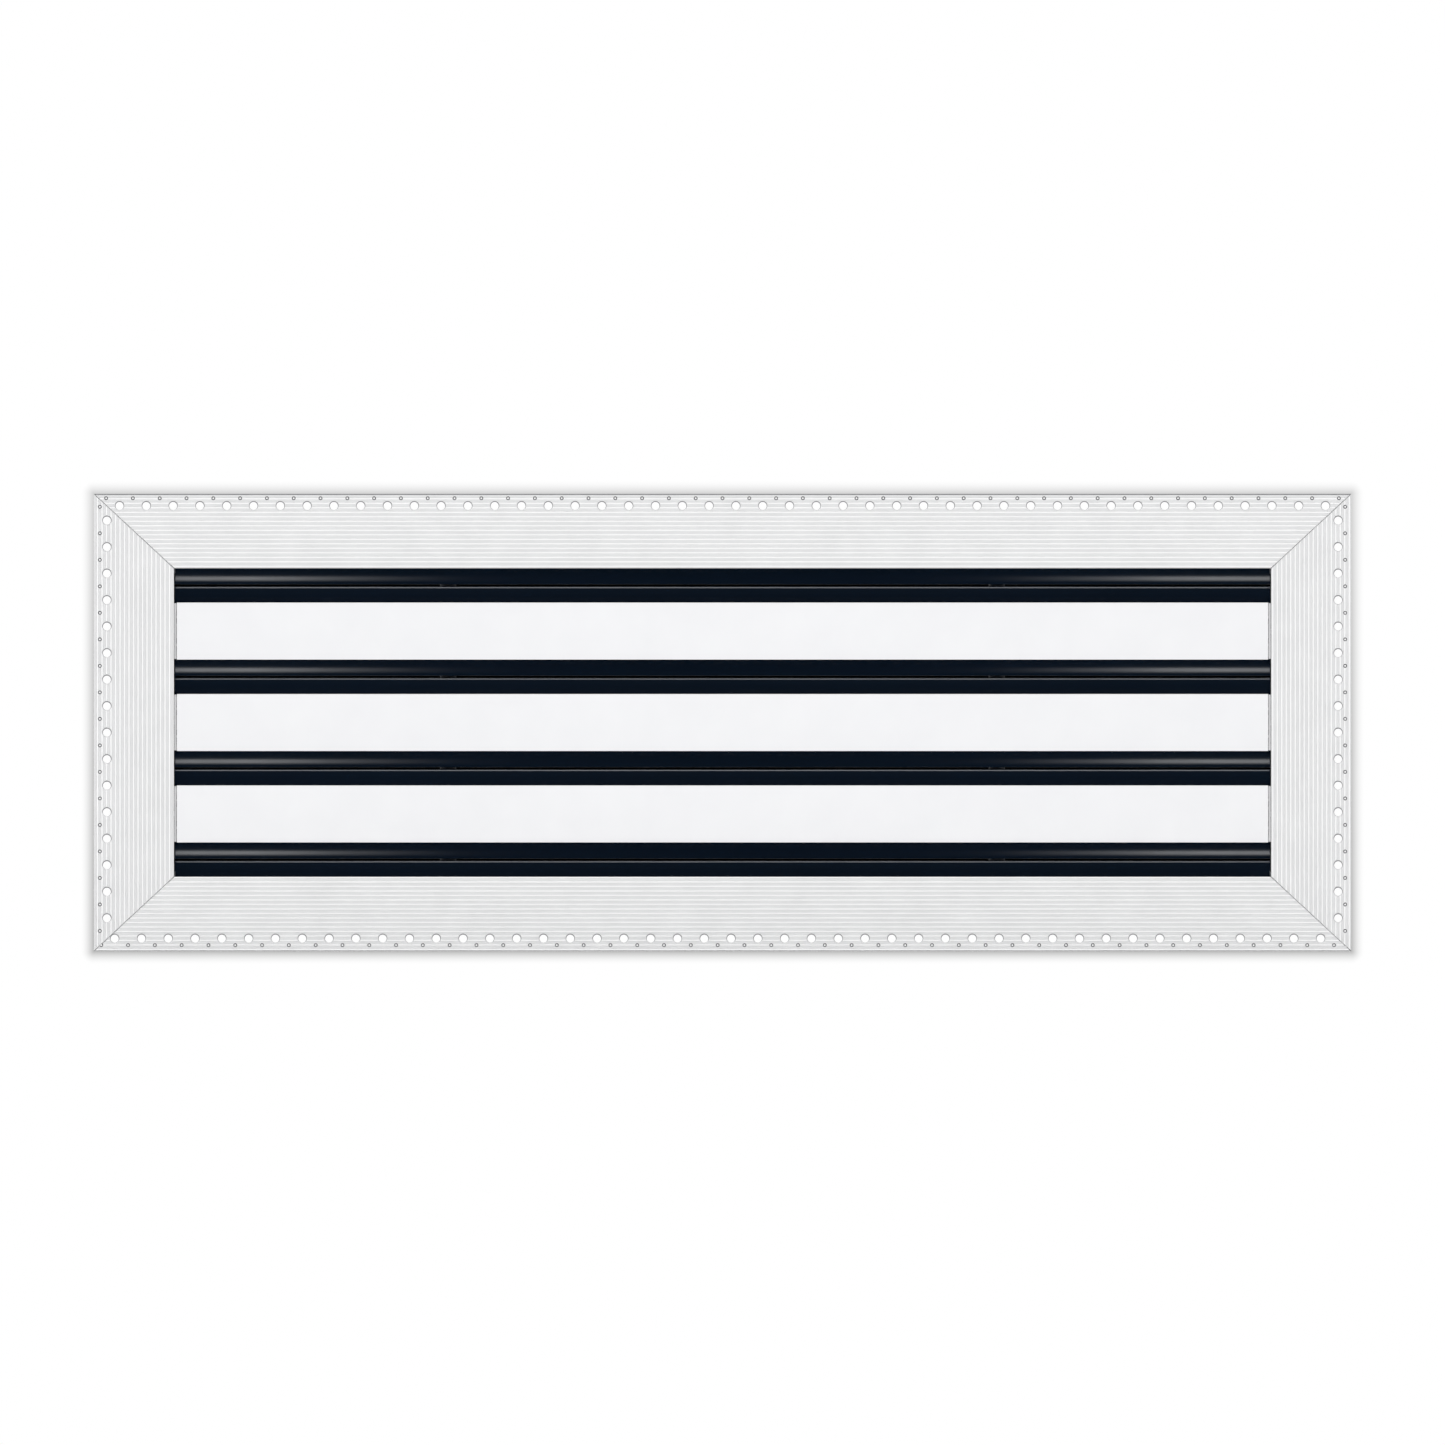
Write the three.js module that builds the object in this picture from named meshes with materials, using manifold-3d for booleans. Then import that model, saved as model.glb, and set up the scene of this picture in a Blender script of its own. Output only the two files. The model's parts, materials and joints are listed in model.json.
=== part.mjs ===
// Linear slot diffuser with a plaster-in flange: four slots between two rails and three bars, with a
// pair of hinged blades in each slot.
//
// Millimetres. X runs along the slots, +Z is up, and the face looks along -Y. Y = 0 is the back of the
// flange, where it lies on the wall, and the origin is the centre of the neck in that plane.

import * as THREE from "three";
import { mergeVertices } from "three/addons/utils/BufferGeometryUtils.js";
import Module from "manifold-3d";

const wasm = await Module();
wasm.setup();

// Face: the nominal opening is 24 in long and holds four 3/4 in slots at a 2 in pitch.
const FACE_LENGTH = 698.5;
const FACE_HEIGHT = 254;
const OPENING_LENGTH = 609.6;
const SLOT_COUNT = 4;
const SLOT_WIDTH = 19.05;
const SLOT_PITCH = 50.8;
const FLANGE_THICKNESS = 2;
const MITRE_GAP = 0.15;

// Neck behind the flange
const NECK_DEPTH = 38.1;
const WALL_THICKNESS = 1.6;
const CAVITY_WIDTH = 30.3;
const JOINT_GAP = 0.3;

// Dividing bars
const BAR_LENGTH = 606.4;
const BAR_FACE_THICKNESS = 1.6;
const BAR_DEPTH = 34;
const STEM_THICKNESS = 1.5;
const BRIDGE_DEPTH = 20;
const BRIDGE_THICKNESS = 1.5;

// Blades and the sockets they turn in. A socket angle is measured from +Y towards the nearer wall.
const BLADE_LENGTH = 608.4;
const BLADE_THICKNESS = 1.2;
const BLADE_RADIUS = 14;
const BLADE_CREST_Y = 0.9;
const BLADE_CREST_OFFSET = 2;
const BLADE_GAP = 1.1;
const NOSE_RADIUS = 1.2;
const BEAD_RADIUS = 2;
const PIVOT_Y = 4.2;
const PIVOT_OFFSET = 12.2;
const SOCKET_RADIUS = 2.25;
const SOCKET_MOUTH_OPEN = THREE.MathUtils.degToRad(30);
const SOCKET_MOUTH_SHUT = THREE.MathUtils.degToRad(240);

// Flange holes, one row round the face. inset is from the flange's outer edge, shift is along the row.
const HOLE_DIAMETER = 4.5;
const HOLE_SIDES = 8;
const HOLE_ROWS = {
  top: { count: 46, pitch: 14.89, inset: 6.4, shift: 0 },
  bottom: { count: 46, pitch: 14.89, inset: 7.2, shift: -2.7 },
  left: { count: 16, pitch: 14.73, inset: 7.2, shift: 2 },
  right: { count: 16, pitch: 14.73, inset: 7.2, shift: 2 },
};

// Tie rods through the rails and bars
const ROD_X = 152.4;
const ROD_Y = 28;
const ROD_DIAMETER = 5;
const ROD_HOLE_DIAMETER = 6;
const ROD_OVERHANG = 6.5;
const NUT_ACROSS_CORNERS = 9.24;
const NUT_HEIGHT = 4;
const NUT_BORE_DIAMETER = 5.7;
const TUBE_DIAMETER = 9;
const CONTACT_GAP = 0.15;

// Clips in the bars' ends, and their screws
const CLIP_PLATE_THICKNESS = 1.3;
const CLIP_PLATE_HALF_HEIGHT = 10.9;
const CLIP_PLATE_FRONT = 0.2;
const CLIP_PLATE_BACK = 33.5;
const CLIP_LIP_HALF_HEIGHT = 15.5;
const CLIP_LIP_BACK = 1.8;
const CLIP_REACH = 16;
const CLIP_TONGUE_THICKNESS = 1.5;
const CLIP_TONGUE_FRONT = 2;
const CLIP_TONGUE_BACK = 18;
const CLIP_BOSS_HALF_WIDTH = 4;
const SCREW_Y = 9;
const SCREW_DIAMETER = 3.2;
const SCREW_HEAD_DIAMETER = 6.4;
const SCREW_HEAD_HEIGHT = 2.2;
const SCREW_LENGTH = 14;
const SCREW_HOLE_DIAMETER = 4;

// Corner angles and their rivets
const ANGLE_LEG = 16;
const ANGLE_THICKNESS = 1.5;
const ANGLE_FRONT = 10;
const ANGLE_BACK = 34;
const RIVET_Y = 22;
const RIVET_OFFSET = 8.15;
const RIVET_DIAMETER = 3.2;
const RIVET_HEAD_DIAMETER = 6.4;
const RIVET_HEAD_HEIGHT = 1.2;
const RIVET_BULB_DIAMETER = 4.8;
const RIVET_BULB_LENGTH = 2;
const RIVET_HOLE_DIAMETER = 3.9;

const ROUND_SIDES = 12;
const OVERLAP = 1;

const openingHeight = (SLOT_COUNT - 1) * SLOT_PITCH + SLOT_WIDTH;
const wallInnerZ = ((SLOT_COUNT - 1) * SLOT_PITCH + CAVITY_WIDTH) / 2;
const wallOuterZ = wallInnerZ + WALL_THICKNESS;
const endWallInnerX = OPENING_LENGTH / 2;
const endWallOuterX = endWallInnerX + WALL_THICKNESS;
const stemOuter = (SLOT_PITCH - CAVITY_WIDTH) / 2;
const stemInner = stemOuter - STEM_THICKNESS;
const barHalfHeight = (SLOT_PITCH - SLOT_WIDTH) / 2;
const outerSlotZ = ((SLOT_COUNT - 1) / 2) * SLOT_PITCH;
const angleCornerX = endWallOuterX + CONTACT_GAP;
const angleCornerZ = wallOuterZ + CONTACT_GAP;

const whiteCoat = new THREE.MeshStandardMaterial({ color: 0xf1f1f3, roughness: 0.55, flatShading: true });
const blackCoat = new THREE.MeshStandardMaterial({ color: 0x0c121a, roughness: 0.3, flatShading: true });
const zincSteel = new THREE.MeshStandardMaterial({
  color: 0xb4b8bc,
  roughness: 0.4,
  metalness: 0.9,
  flatShading: true,
});
const aluminium = new THREE.MeshStandardMaterial({
  color: 0xc9ccd0,
  roughness: 0.35,
  metalness: 0.95,
  flatShading: true,
});

function solidOf(geometry) {
  geometry.deleteAttribute("normal");
  geometry.deleteAttribute("uv");
  const merged = mergeVertices(geometry);
  const corners = merged.index.array;
  const triangles = [];
  for (let i = 0; i < corners.length; i += 3) {
    const [a, b, c] = corners.slice(i, i + 3);
    if (a !== b && b !== c && c !== a) {
      triangles.push(a, b, c);
    }
  }
  return new wasm.Manifold(
    new wasm.Mesh({
      numProp: 3,
      vertProperties: new Float32Array(merged.attributes.position.array),
      triVerts: new Uint32Array(triangles),
    }),
  );
}

function geometryOf(solid) {
  const { vertProperties, triVerts } = solid.getMesh();
  const geometry = new THREE.BufferGeometry();
  geometry.setAttribute("position", new THREE.BufferAttribute(vertProperties, 3));
  geometry.setIndex(new THREE.BufferAttribute(triVerts, 1));
  return geometry;
}

function joined(geometries) {
  return geometries.map(solidOf).reduce((whole, solid) => whole.add(solid));
}

function cut(solid, geometries) {
  return geometries.map(solidOf).reduce((rest, cutter) => rest.subtract(cutter), solid);
}

function shapeOf(points, openings = []) {
  const shape = new THREE.Shape(points.map(([a, b]) => new THREE.Vector2(a, b)));
  shape.holes = openings.map((opening) => new THREE.Path(opening.map(([a, b]) => new THREE.Vector2(a, b))));
  return shape;
}

// A prism along X, centred on X = 0, from an outline of [y, z] points.
function prismAlongX(points, length) {
  const geometry = new THREE.ExtrudeGeometry(shapeOf(points), { depth: length, bevelEnabled: false });
  const [x, y, z] = [new THREE.Vector3(1, 0, 0), new THREE.Vector3(0, 1, 0), new THREE.Vector3(0, 0, 1)];
  geometry.translate(0, 0, -length / 2);
  return geometry.applyMatrix4(new THREE.Matrix4().makeBasis(y, z, x));
}

// A prism along Y from an outline of [x, z] points.
function prismAlongY(points, fromY, toY, openings = []) {
  const depth = toY - fromY;
  const geometry = new THREE.ExtrudeGeometry(shapeOf(points, openings), { depth, bevelEnabled: false });
  geometry.rotateX(Math.PI / 2);
  return geometry.translate(0, toY, 0);
}

function box([x0, x1], [y0, y1], [z0, z1]) {
  const geometry = new THREE.BoxGeometry(x1 - x0, y1 - y0, z1 - z0);
  return geometry.translate((x0 + x1) / 2, (y0 + y1) / 2, (z0 + z1) / 2);
}

function pinAlongX(diameter, [x0, x1], y, z, sides = ROUND_SIDES) {
  const geometry = new THREE.CylinderGeometry(diameter / 2, diameter / 2, x1 - x0, sides);
  return geometry.rotateZ(Math.PI / 2).translate((x0 + x1) / 2, y, z);
}

function pinAlongZ(diameter, x, y, [z0, z1], sides = ROUND_SIDES) {
  const geometry = new THREE.CylinderGeometry(diameter / 2, diameter / 2, z1 - z0, sides);
  return geometry.rotateX(Math.PI / 2).translate(x, y, (z0 + z1) / 2);
}

function arc(centreY, centreZ, radius, from, to, steps) {
  return Array.from({ length: steps + 1 }, (_, i) => {
    const angle = from + ((to - from) * i) / steps;
    return [centreY + radius * Math.cos(angle), centreZ + radius * Math.sin(angle)];
  });
}

// The edge of a slot in section, from the back of its lip round the blade's socket to the wall. The second
// value of a point is its distance from the slot's centre plane. The socket is open towards the slot and
// the back, so that the blade can swing, and nothing of it shows past the lip.
function socketEdge() {
  const outerRadius = (SLOT_WIDTH / 2 - PIVOT_OFFSET) / Math.sin(SOCKET_MOUTH_SHUT);
  const atWall = Math.asin((CAVITY_WIDTH / 2 - PIVOT_OFFSET) / outerRadius);
  return [
    [PIVOT_Y + outerRadius * Math.cos(SOCKET_MOUTH_SHUT), SLOT_WIDTH / 2],
    ...arc(PIVOT_Y, PIVOT_OFFSET, SOCKET_RADIUS, SOCKET_MOUTH_SHUT, SOCKET_MOUTH_OPEN, 10),
    ...arc(PIVOT_Y, PIVOT_OFFSET, outerRadius, SOCKET_MOUTH_OPEN, atWall, 2),
  ];
}

function holeRow({ count, pitch, shift }, rowZ) {
  const radius = HOLE_DIAMETER / 2;
  return Array.from({ length: count }, (_, i) => {
    const x = shift + (i - (count - 1) / 2) * pitch;
    return arc(x, rowZ, radius, 0, 2 * Math.PI, HOLE_SIDES).slice(1);
  });
}

// One side of the flange, from the opening's edge at innerZ to outerZ, as wide as the opening there and
// mitred to the corners of the face. Its holes are given in its own frame, with +Z outwards.
function flangeSide(innerLength, outerLength, innerZ, outerZ, holes) {
  const run = (outerLength - innerLength) / 2;
  const rise = outerZ - innerZ;
  const pulledIn = (MITRE_GAP * Math.hypot(run, rise)) / rise;
  const inner = innerLength / 2 - pulledIn;
  const outer = outerLength / 2 - pulledIn;
  const outline = [
    [-inner, innerZ],
    [inner, innerZ],
    [outer, outerZ],
    [-outer, outerZ],
  ];
  return prismAlongY(outline, -FLANGE_THICKNESS, 0, holeRow(holes, outerZ - holes.inset));
}

// The top rail. Its neck wall runs the whole length, and its socket stops at the end walls.
function railGeometry(holes) {
  const flange = flangeSide(OPENING_LENGTH, FACE_LENGTH, openingHeight / 2, FACE_HEIGHT / 2, holes);
  const socketOutline = [[-OVERLAP, SLOT_WIDTH / 2], ...socketEdge(), [PIVOT_Y, CAVITY_WIDTH / 2 + OVERLAP]];
  socketOutline.push([-OVERLAP, CAVITY_WIDTH / 2 + OVERLAP]);
  const socket = prismAlongX(socketOutline, OPENING_LENGTH - 2 * JOINT_GAP).translate(0, 0, outerSlotZ);
  const wall = box([-endWallOuterX, endWallOuterX], [-OVERLAP, NECK_DEPTH], [wallInnerZ, wallOuterZ]);
  const acrossWall = [wallInnerZ - OVERLAP, wallOuterZ + OVERLAP];
  const rivetX = angleCornerX - RIVET_OFFSET;
  const holesInWall = [-1, 1].flatMap((side) => [
    pinAlongZ(ROD_HOLE_DIAMETER, side * ROD_X, ROD_Y, acrossWall),
    pinAlongZ(RIVET_HOLE_DIAMETER, side * rivetX, RIVET_Y, acrossWall, HOLE_SIDES),
  ]);
  return geometryOf(cut(joined([flange, socket, wall]), holesInWall));
}

// The right end of the frame. Its flange is drawn as a top side and turned a quarter turn. Its wall grows
// from the flange between the mitres, and runs on behind the rails' flanges to their walls.
function endFrameGeometry(holes) {
  const flange = flangeSide(openingHeight, FACE_HEIGHT, OPENING_LENGTH / 2, FACE_LENGTH / 2, holes);
  flange.rotateY(Math.PI / 2);
  const halfRoot = openingHeight / 2 - JOINT_GAP;
  const halfWall = wallInnerZ - JOINT_GAP;
  const root = box([endWallInnerX, endWallOuterX], [-OVERLAP, OVERLAP], [-halfRoot, halfRoot]);
  const wall = box([endWallInnerX, endWallOuterX], [JOINT_GAP, NECK_DEPTH], [-halfWall, halfWall]);
  const acrossWall = [endWallInnerX - OVERLAP, endWallOuterX + OVERLAP];
  const rivetZ = angleCornerZ - RIVET_OFFSET;
  const screwHoles = barPlaces().map((z) =>
    pinAlongX(SCREW_HOLE_DIAMETER, acrossWall, SCREW_Y, z, HOLE_SIDES),
  );
  const rivetHoles = [-rivetZ, rivetZ].map((z) =>
    pinAlongX(RIVET_HOLE_DIAMETER, acrossWall, RIVET_Y, z, HOLE_SIDES),
  );
  return geometryOf(cut(joined([flange, root, wall]), [...screwHoles, ...rivetHoles]));
}

function slotPlaces() {
  return Array.from({ length: SLOT_COUNT }, (_, i) => outerSlotZ - i * SLOT_PITCH);
}

function barPlaces() {
  return slotPlaces()
    .slice(1)
    .map((z) => z + SLOT_PITCH / 2);
}

function barGeometry() {
  const upperHalf = [
    [-BAR_FACE_THICKNESS, barHalfHeight],
    ...socketEdge().map(([y, offset]) => [y, SLOT_PITCH / 2 - offset]),
    [BAR_DEPTH, stemOuter],
    [BAR_DEPTH, stemInner],
    [BRIDGE_DEPTH + BRIDGE_THICKNESS, stemInner],
  ];
  const lowerHalf = upperHalf.map(([y, z]) => [y, -z]).reverse();
  const extrusion = prismAlongX([...upperHalf, ...lowerHalf], BAR_LENGTH);
  const channel = box([-BAR_LENGTH, BAR_LENGTH], [0, BRIDGE_DEPTH], [-stemInner, stemInner]);
  const acrossBar = [-barHalfHeight, barHalfHeight];
  const rodHoles = [-ROD_X, ROD_X].map((x) => pinAlongZ(ROD_HOLE_DIAMETER, x, ROD_Y, acrossBar));
  return geometryOf(cut(solidOf(extrusion), [channel, ...rodHoles]));
}

// The upper blade, about its pivot: a bead, a curved leaf with its crest towards the front, and a rounded
// nose that bulges behind the leaf and stops short of the slot's centre plane.
function bladeGeometry() {
  const centreY = BLADE_CREST_Y + BLADE_RADIUS;
  const backRadius = BLADE_RADIUS - BLADE_THICKNESS;
  const noseDistance = BLADE_RADIUS - NOSE_RADIUS;
  const angleAt = (offset, radius) => Math.PI - Math.asin((offset - BLADE_CREST_OFFSET) / radius);
  const angleBetween = ([fromY, fromOffset], [y, offset]) => Math.atan2(offset - fromOffset, y - fromY);

  const rootOffset = PIVOT_OFFSET - BEAD_RADIUS + 0.1;
  const noseAngle = angleAt(BLADE_GAP / 2 + NOSE_RADIUS, noseDistance);
  const noseSpan = Math.acos(
    (noseDistance ** 2 + backRadius ** 2 - NOSE_RADIUS ** 2) / (2 * noseDistance * backRadius),
  );
  const [frontRoot, backRoot] = [angleAt(rootOffset, BLADE_RADIUS), angleAt(rootOffset, backRadius)];
  const front = arc(centreY, BLADE_CREST_OFFSET, BLADE_RADIUS, frontRoot, noseAngle, 6);
  const back = arc(centreY, BLADE_CREST_OFFSET, backRadius, noseAngle - noseSpan, backRoot, 5);
  const noseCentre = [
    centreY + noseDistance * Math.cos(noseAngle),
    BLADE_CREST_OFFSET + noseDistance * Math.sin(noseAngle),
  ];
  const noseTo = angleBetween(noseCentre, back[0]) + 2 * Math.PI;
  const nose = arc(...noseCentre, NOSE_RADIUS, noseAngle, noseTo, 7).slice(1, -1);

  const pivot = [PIVOT_Y, PIVOT_OFFSET];
  const beadFrom = angleBetween(pivot, back[back.length - 1]);
  const beadTo = angleBetween(pivot, front[0]) + 2 * Math.PI;
  const bead = arc(...pivot, BEAD_RADIUS, beadFrom, beadTo, 12).slice(1, -1);
  const outline = [...front, ...nose, ...back, ...bead];
  return prismAlongX(
    outline.map(([y, offset]) => [y - PIVOT_Y, offset - PIVOT_OFFSET]),
    BLADE_LENGTH,
  );
}

function rodGeometry() {
  const halfLength = wallOuterZ + ROD_OVERHANG;
  return pinAlongZ(ROD_DIAMETER, 0, 0, [-halfLength, halfLength]);
}

function tubeGeometry() {
  const halfLength = CAVITY_WIDTH / 2 - CONTACT_GAP;
  const outside = pinAlongZ(TUBE_DIAMETER, 0, 0, [-halfLength, halfLength]);
  const bore = pinAlongZ(ROD_HOLE_DIAMETER, 0, 0, [-CAVITY_WIDTH, CAVITY_WIDTH]);
  return geometryOf(cut(solidOf(outside), [bore]));
}

function nutGeometry() {
  const hexagon = pinAlongZ(NUT_ACROSS_CORNERS, 0, 0, [0, NUT_HEIGHT], 6);
  const bore = pinAlongZ(NUT_BORE_DIAMETER, 0, 0, [-OVERLAP, NUT_HEIGHT + OVERLAP]);
  return geometryOf(cut(solidOf(hexagon), [bore]));
}

// The clip at a bar's right end: a plate over the end, two tongues against the stems and a boss for the
// screw. The plate is only a lip as high as the bar in front of the blades' beads, which run on past the bar.
function clipGeometry() {
  const plateFromX = BAR_LENGTH / 2 + CONTACT_GAP;
  const plateToX = plateFromX + CLIP_PLATE_THICKNESS;
  const reach = [plateFromX - CLIP_REACH, plateFromX + CLIP_PLATE_THICKNESS / 2];
  const plate = box(
    [plateFromX, plateToX],
    [CLIP_PLATE_FRONT, CLIP_PLATE_BACK],
    [-CLIP_PLATE_HALF_HEIGHT, CLIP_PLATE_HALF_HEIGHT],
  );
  const lip = box(
    [plateFromX, plateToX],
    [CLIP_PLATE_FRONT, CLIP_LIP_BACK],
    [-CLIP_LIP_HALF_HEIGHT, CLIP_LIP_HALF_HEIGHT],
  );
  const tongueOuter = stemInner - JOINT_GAP;
  const tongueInner = tongueOuter - CLIP_TONGUE_THICKNESS;
  const tongueY = [CLIP_TONGUE_FRONT, CLIP_TONGUE_BACK];
  const boss = box(
    reach,
    [SCREW_Y - CLIP_BOSS_HALF_WIDTH, SCREW_Y + CLIP_BOSS_HALF_WIDTH],
    [-CLIP_BOSS_HALF_WIDTH, CLIP_BOSS_HALF_WIDTH],
  );
  const clip = joined([
    plate,
    lip,
    box(reach, tongueY, [tongueInner, tongueOuter]),
    box(reach, tongueY, [-tongueOuter, -tongueInner]),
    boss,
  ]);
  const throughClip = [reach[0] - OVERLAP, plateToX + OVERLAP];
  return geometryOf(cut(clip, [pinAlongX(SCREW_HOLE_DIAMETER, throughClip, SCREW_Y, 0, HOLE_SIDES)]));
}

// A turned fastener along Y, from [radius, height] points between its two ends on the axis.
function turned(profile, sides) {
  return new THREE.LatheGeometry(
    profile.map(([radius, height]) => new THREE.Vector2(radius, height)),
    sides,
  );
}

// The underside of the head is at the origin and the head points along +X.
function screwGeometry() {
  const radius = SCREW_DIAMETER / 2;
  const headRadius = SCREW_HEAD_DIAMETER / 2;
  const profile = [
    [0, -SCREW_LENGTH],
    [radius, -SCREW_LENGTH + radius],
    [radius, 0],
    [headRadius, 0],
    [headRadius, SCREW_HEAD_HEIGHT * 0.6],
    [headRadius * 0.7, SCREW_HEAD_HEIGHT],
    [0, SCREW_HEAD_HEIGHT],
  ];
  return turned(profile, 10).rotateZ(-Math.PI / 2);
}

// The underside of the head is at the origin and the head points along +Y. The bulb is the blind end, set
// behind the neck wall.
function rivetGeometry() {
  const radius = RIVET_DIAMETER / 2;
  const headRadius = RIVET_HEAD_DIAMETER / 2;
  const bulbRadius = RIVET_BULB_DIAMETER / 2;
  const bulbTop = -(ANGLE_THICKNESS + WALL_THICKNESS + 3 * CONTACT_GAP);
  const profile = [
    [0, bulbTop - RIVET_BULB_LENGTH],
    [radius, bulbTop - RIVET_BULB_LENGTH],
    [bulbRadius, bulbTop - RIVET_BULB_LENGTH / 2],
    [bulbRadius, bulbTop],
    [radius, bulbTop],
    [radius, 0],
    [headRadius, 0],
    [headRadius * 0.7, RIVET_HEAD_HEIGHT * 0.8],
    [0, RIVET_HEAD_HEIGHT],
  ];
  return turned(profile, HOLE_SIDES);
}

// An angle with its inner corner at the origin and its legs along -X and -Z, on the outside of the neck.
function angleGeometry() {
  const outline = [
    [-ANGLE_LEG, 0],
    [0, 0],
    [0, -ANGLE_LEG],
    [ANGLE_THICKNESS, -ANGLE_LEG],
    [ANGLE_THICKNESS, ANGLE_THICKNESS],
    [-ANGLE_LEG, ANGLE_THICKNESS],
  ];
  const through = [-OVERLAP, ANGLE_THICKNESS + OVERLAP];
  return geometryOf(
    cut(solidOf(prismAlongY(outline, ANGLE_FRONT, ANGLE_BACK)), [
      pinAlongZ(RIVET_HOLE_DIAMETER, -RIVET_OFFSET, RIVET_Y, through, HOLE_SIDES),
      pinAlongX(RIVET_HOLE_DIAMETER, through, RIVET_Y, -RIVET_OFFSET, HOLE_SIDES),
    ]),
  );
}

function mesh(name, geometry, material) {
  const piece = new THREE.Mesh(geometry, material);
  piece.name = name;
  return piece;
}

function place(object, x, y, z) {
  object.position.set(x, y, z);
  return object;
}

// Half a turn about Y swaps top with bottom and left with right, and keeps front and back.
function halfTurn(object) {
  object.rotation.y = Math.PI;
  return object;
}

function halfTurnedRow(row) {
  return { ...row, shift: -row.shift };
}

function frameGroup() {
  const group = new THREE.Group();
  group.add(mesh("top_rail", railGeometry(HOLE_ROWS.top), whiteCoat));
  group.add(halfTurn(mesh("bottom_rail", railGeometry(halfTurnedRow(HOLE_ROWS.bottom)), whiteCoat)));
  group.add(mesh("right_end_frame", endFrameGeometry(halfTurnedRow(HOLE_ROWS.right)), whiteCoat));
  group.add(halfTurn(mesh("left_end_frame", endFrameGeometry(HOLE_ROWS.left), whiteCoat)));
  return group;
}

function barGroup(number) {
  const group = new THREE.Group();
  group.add(mesh(`bar_${number}`, barGeometry(), whiteCoat));
  for (const side of ["right", "left"]) {
    const end = new THREE.Group();
    end.add(mesh(`bar_clip_${number}_${side}`, clipGeometry(), whiteCoat));
    const screw = mesh(`clip_screw_${number}_${side}`, screwGeometry(), zincSteel);
    end.add(place(screw, endWallOuterX + CONTACT_GAP, SCREW_Y, 0));
    group.add(side === "left" ? halfTurn(end) : end);
  }
  return group;
}

function bladePair(number) {
  const group = new THREE.Group();
  const upper = mesh(`upper_blade_${number}`, bladeGeometry(), blackCoat);
  const lower = mesh(`lower_blade_${number}`, bladeGeometry(), blackCoat);
  group.add(place(upper, 0, PIVOT_Y, PIVOT_OFFSET));
  group.add(place(halfTurn(lower), 0, PIVOT_Y, -PIVOT_OFFSET));
  return group;
}

function tieGroup(side) {
  const group = new THREE.Group();
  group.add(mesh(`tie_rod_${side}`, rodGeometry(), zincSteel));
  slotPlaces().forEach((z, i) => {
    group.add(place(mesh(`spacer_tube_${side}_${i + 1}`, tubeGeometry(), blackCoat), 0, 0, z));
  });
  const top = mesh(`rod_nut_${side}_top`, nutGeometry(), zincSteel);
  const bottom = mesh(`rod_nut_${side}_bottom`, nutGeometry(), zincSteel);
  group.add(place(top, 0, 0, wallOuterZ + CONTACT_GAP));
  group.add(place(halfTurn(bottom), 0, 0, -wallOuterZ - CONTACT_GAP));
  return group;
}

function cornerGroup(corner, quarterTurns) {
  const group = new THREE.Group();
  group.add(mesh(`corner_angle_${corner}`, angleGeometry(), zincSteel));
  const legs = quarterTurns % 2 === 0 ? ["rail", "end"] : ["end", "rail"];
  const headAt = ANGLE_THICKNESS + CONTACT_GAP;
  const alongX = mesh(`rivet_${corner}_${legs[0]}`, rivetGeometry(), aluminium);
  alongX.rotation.x = Math.PI / 2;
  group.add(place(alongX, -RIVET_OFFSET, RIVET_Y, headAt));
  const alongZ = mesh(`rivet_${corner}_${legs[1]}`, rivetGeometry(), aluminium);
  alongZ.rotation.z = -Math.PI / 2;
  group.add(place(alongZ, headAt, RIVET_Y, -RIVET_OFFSET));
  group.rotation.y = (quarterTurns * Math.PI) / 2;
  return group;
}

const diffuser = new THREE.Group();
diffuser.add(frameGroup());
barPlaces().forEach((z, i) => diffuser.add(place(barGroup(i + 1), 0, 0, z)));
slotPlaces().forEach((z, i) => diffuser.add(place(bladePair(i + 1), 0, 0, z)));
diffuser.add(place(tieGroup("left"), -ROD_X, ROD_Y, 0));
diffuser.add(place(tieGroup("right"), ROD_X, ROD_Y, 0));
diffuser.add(place(cornerGroup("top_right", 0), angleCornerX, 0, angleCornerZ));
diffuser.add(place(cornerGroup("bottom_right", 1), angleCornerX, 0, -angleCornerZ));
diffuser.add(place(cornerGroup("bottom_left", 2), -angleCornerX, 0, -angleCornerZ));
diffuser.add(place(cornerGroup("top_left", 3), -angleCornerX, 0, angleCornerZ));

export default diffuser;
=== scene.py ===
"""The finished look of a linear slot diffuser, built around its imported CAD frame.

X runs along the slots, +Z is up and the face looks along -Y. Sizes here are in millimetres, and become
metres when a mesh is made. A rail and an end frame are drawn as the top rail is, then turned into place.
"""

import json
import math

import bmesh
import bpy
from mathutils import Matrix, Vector

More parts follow.
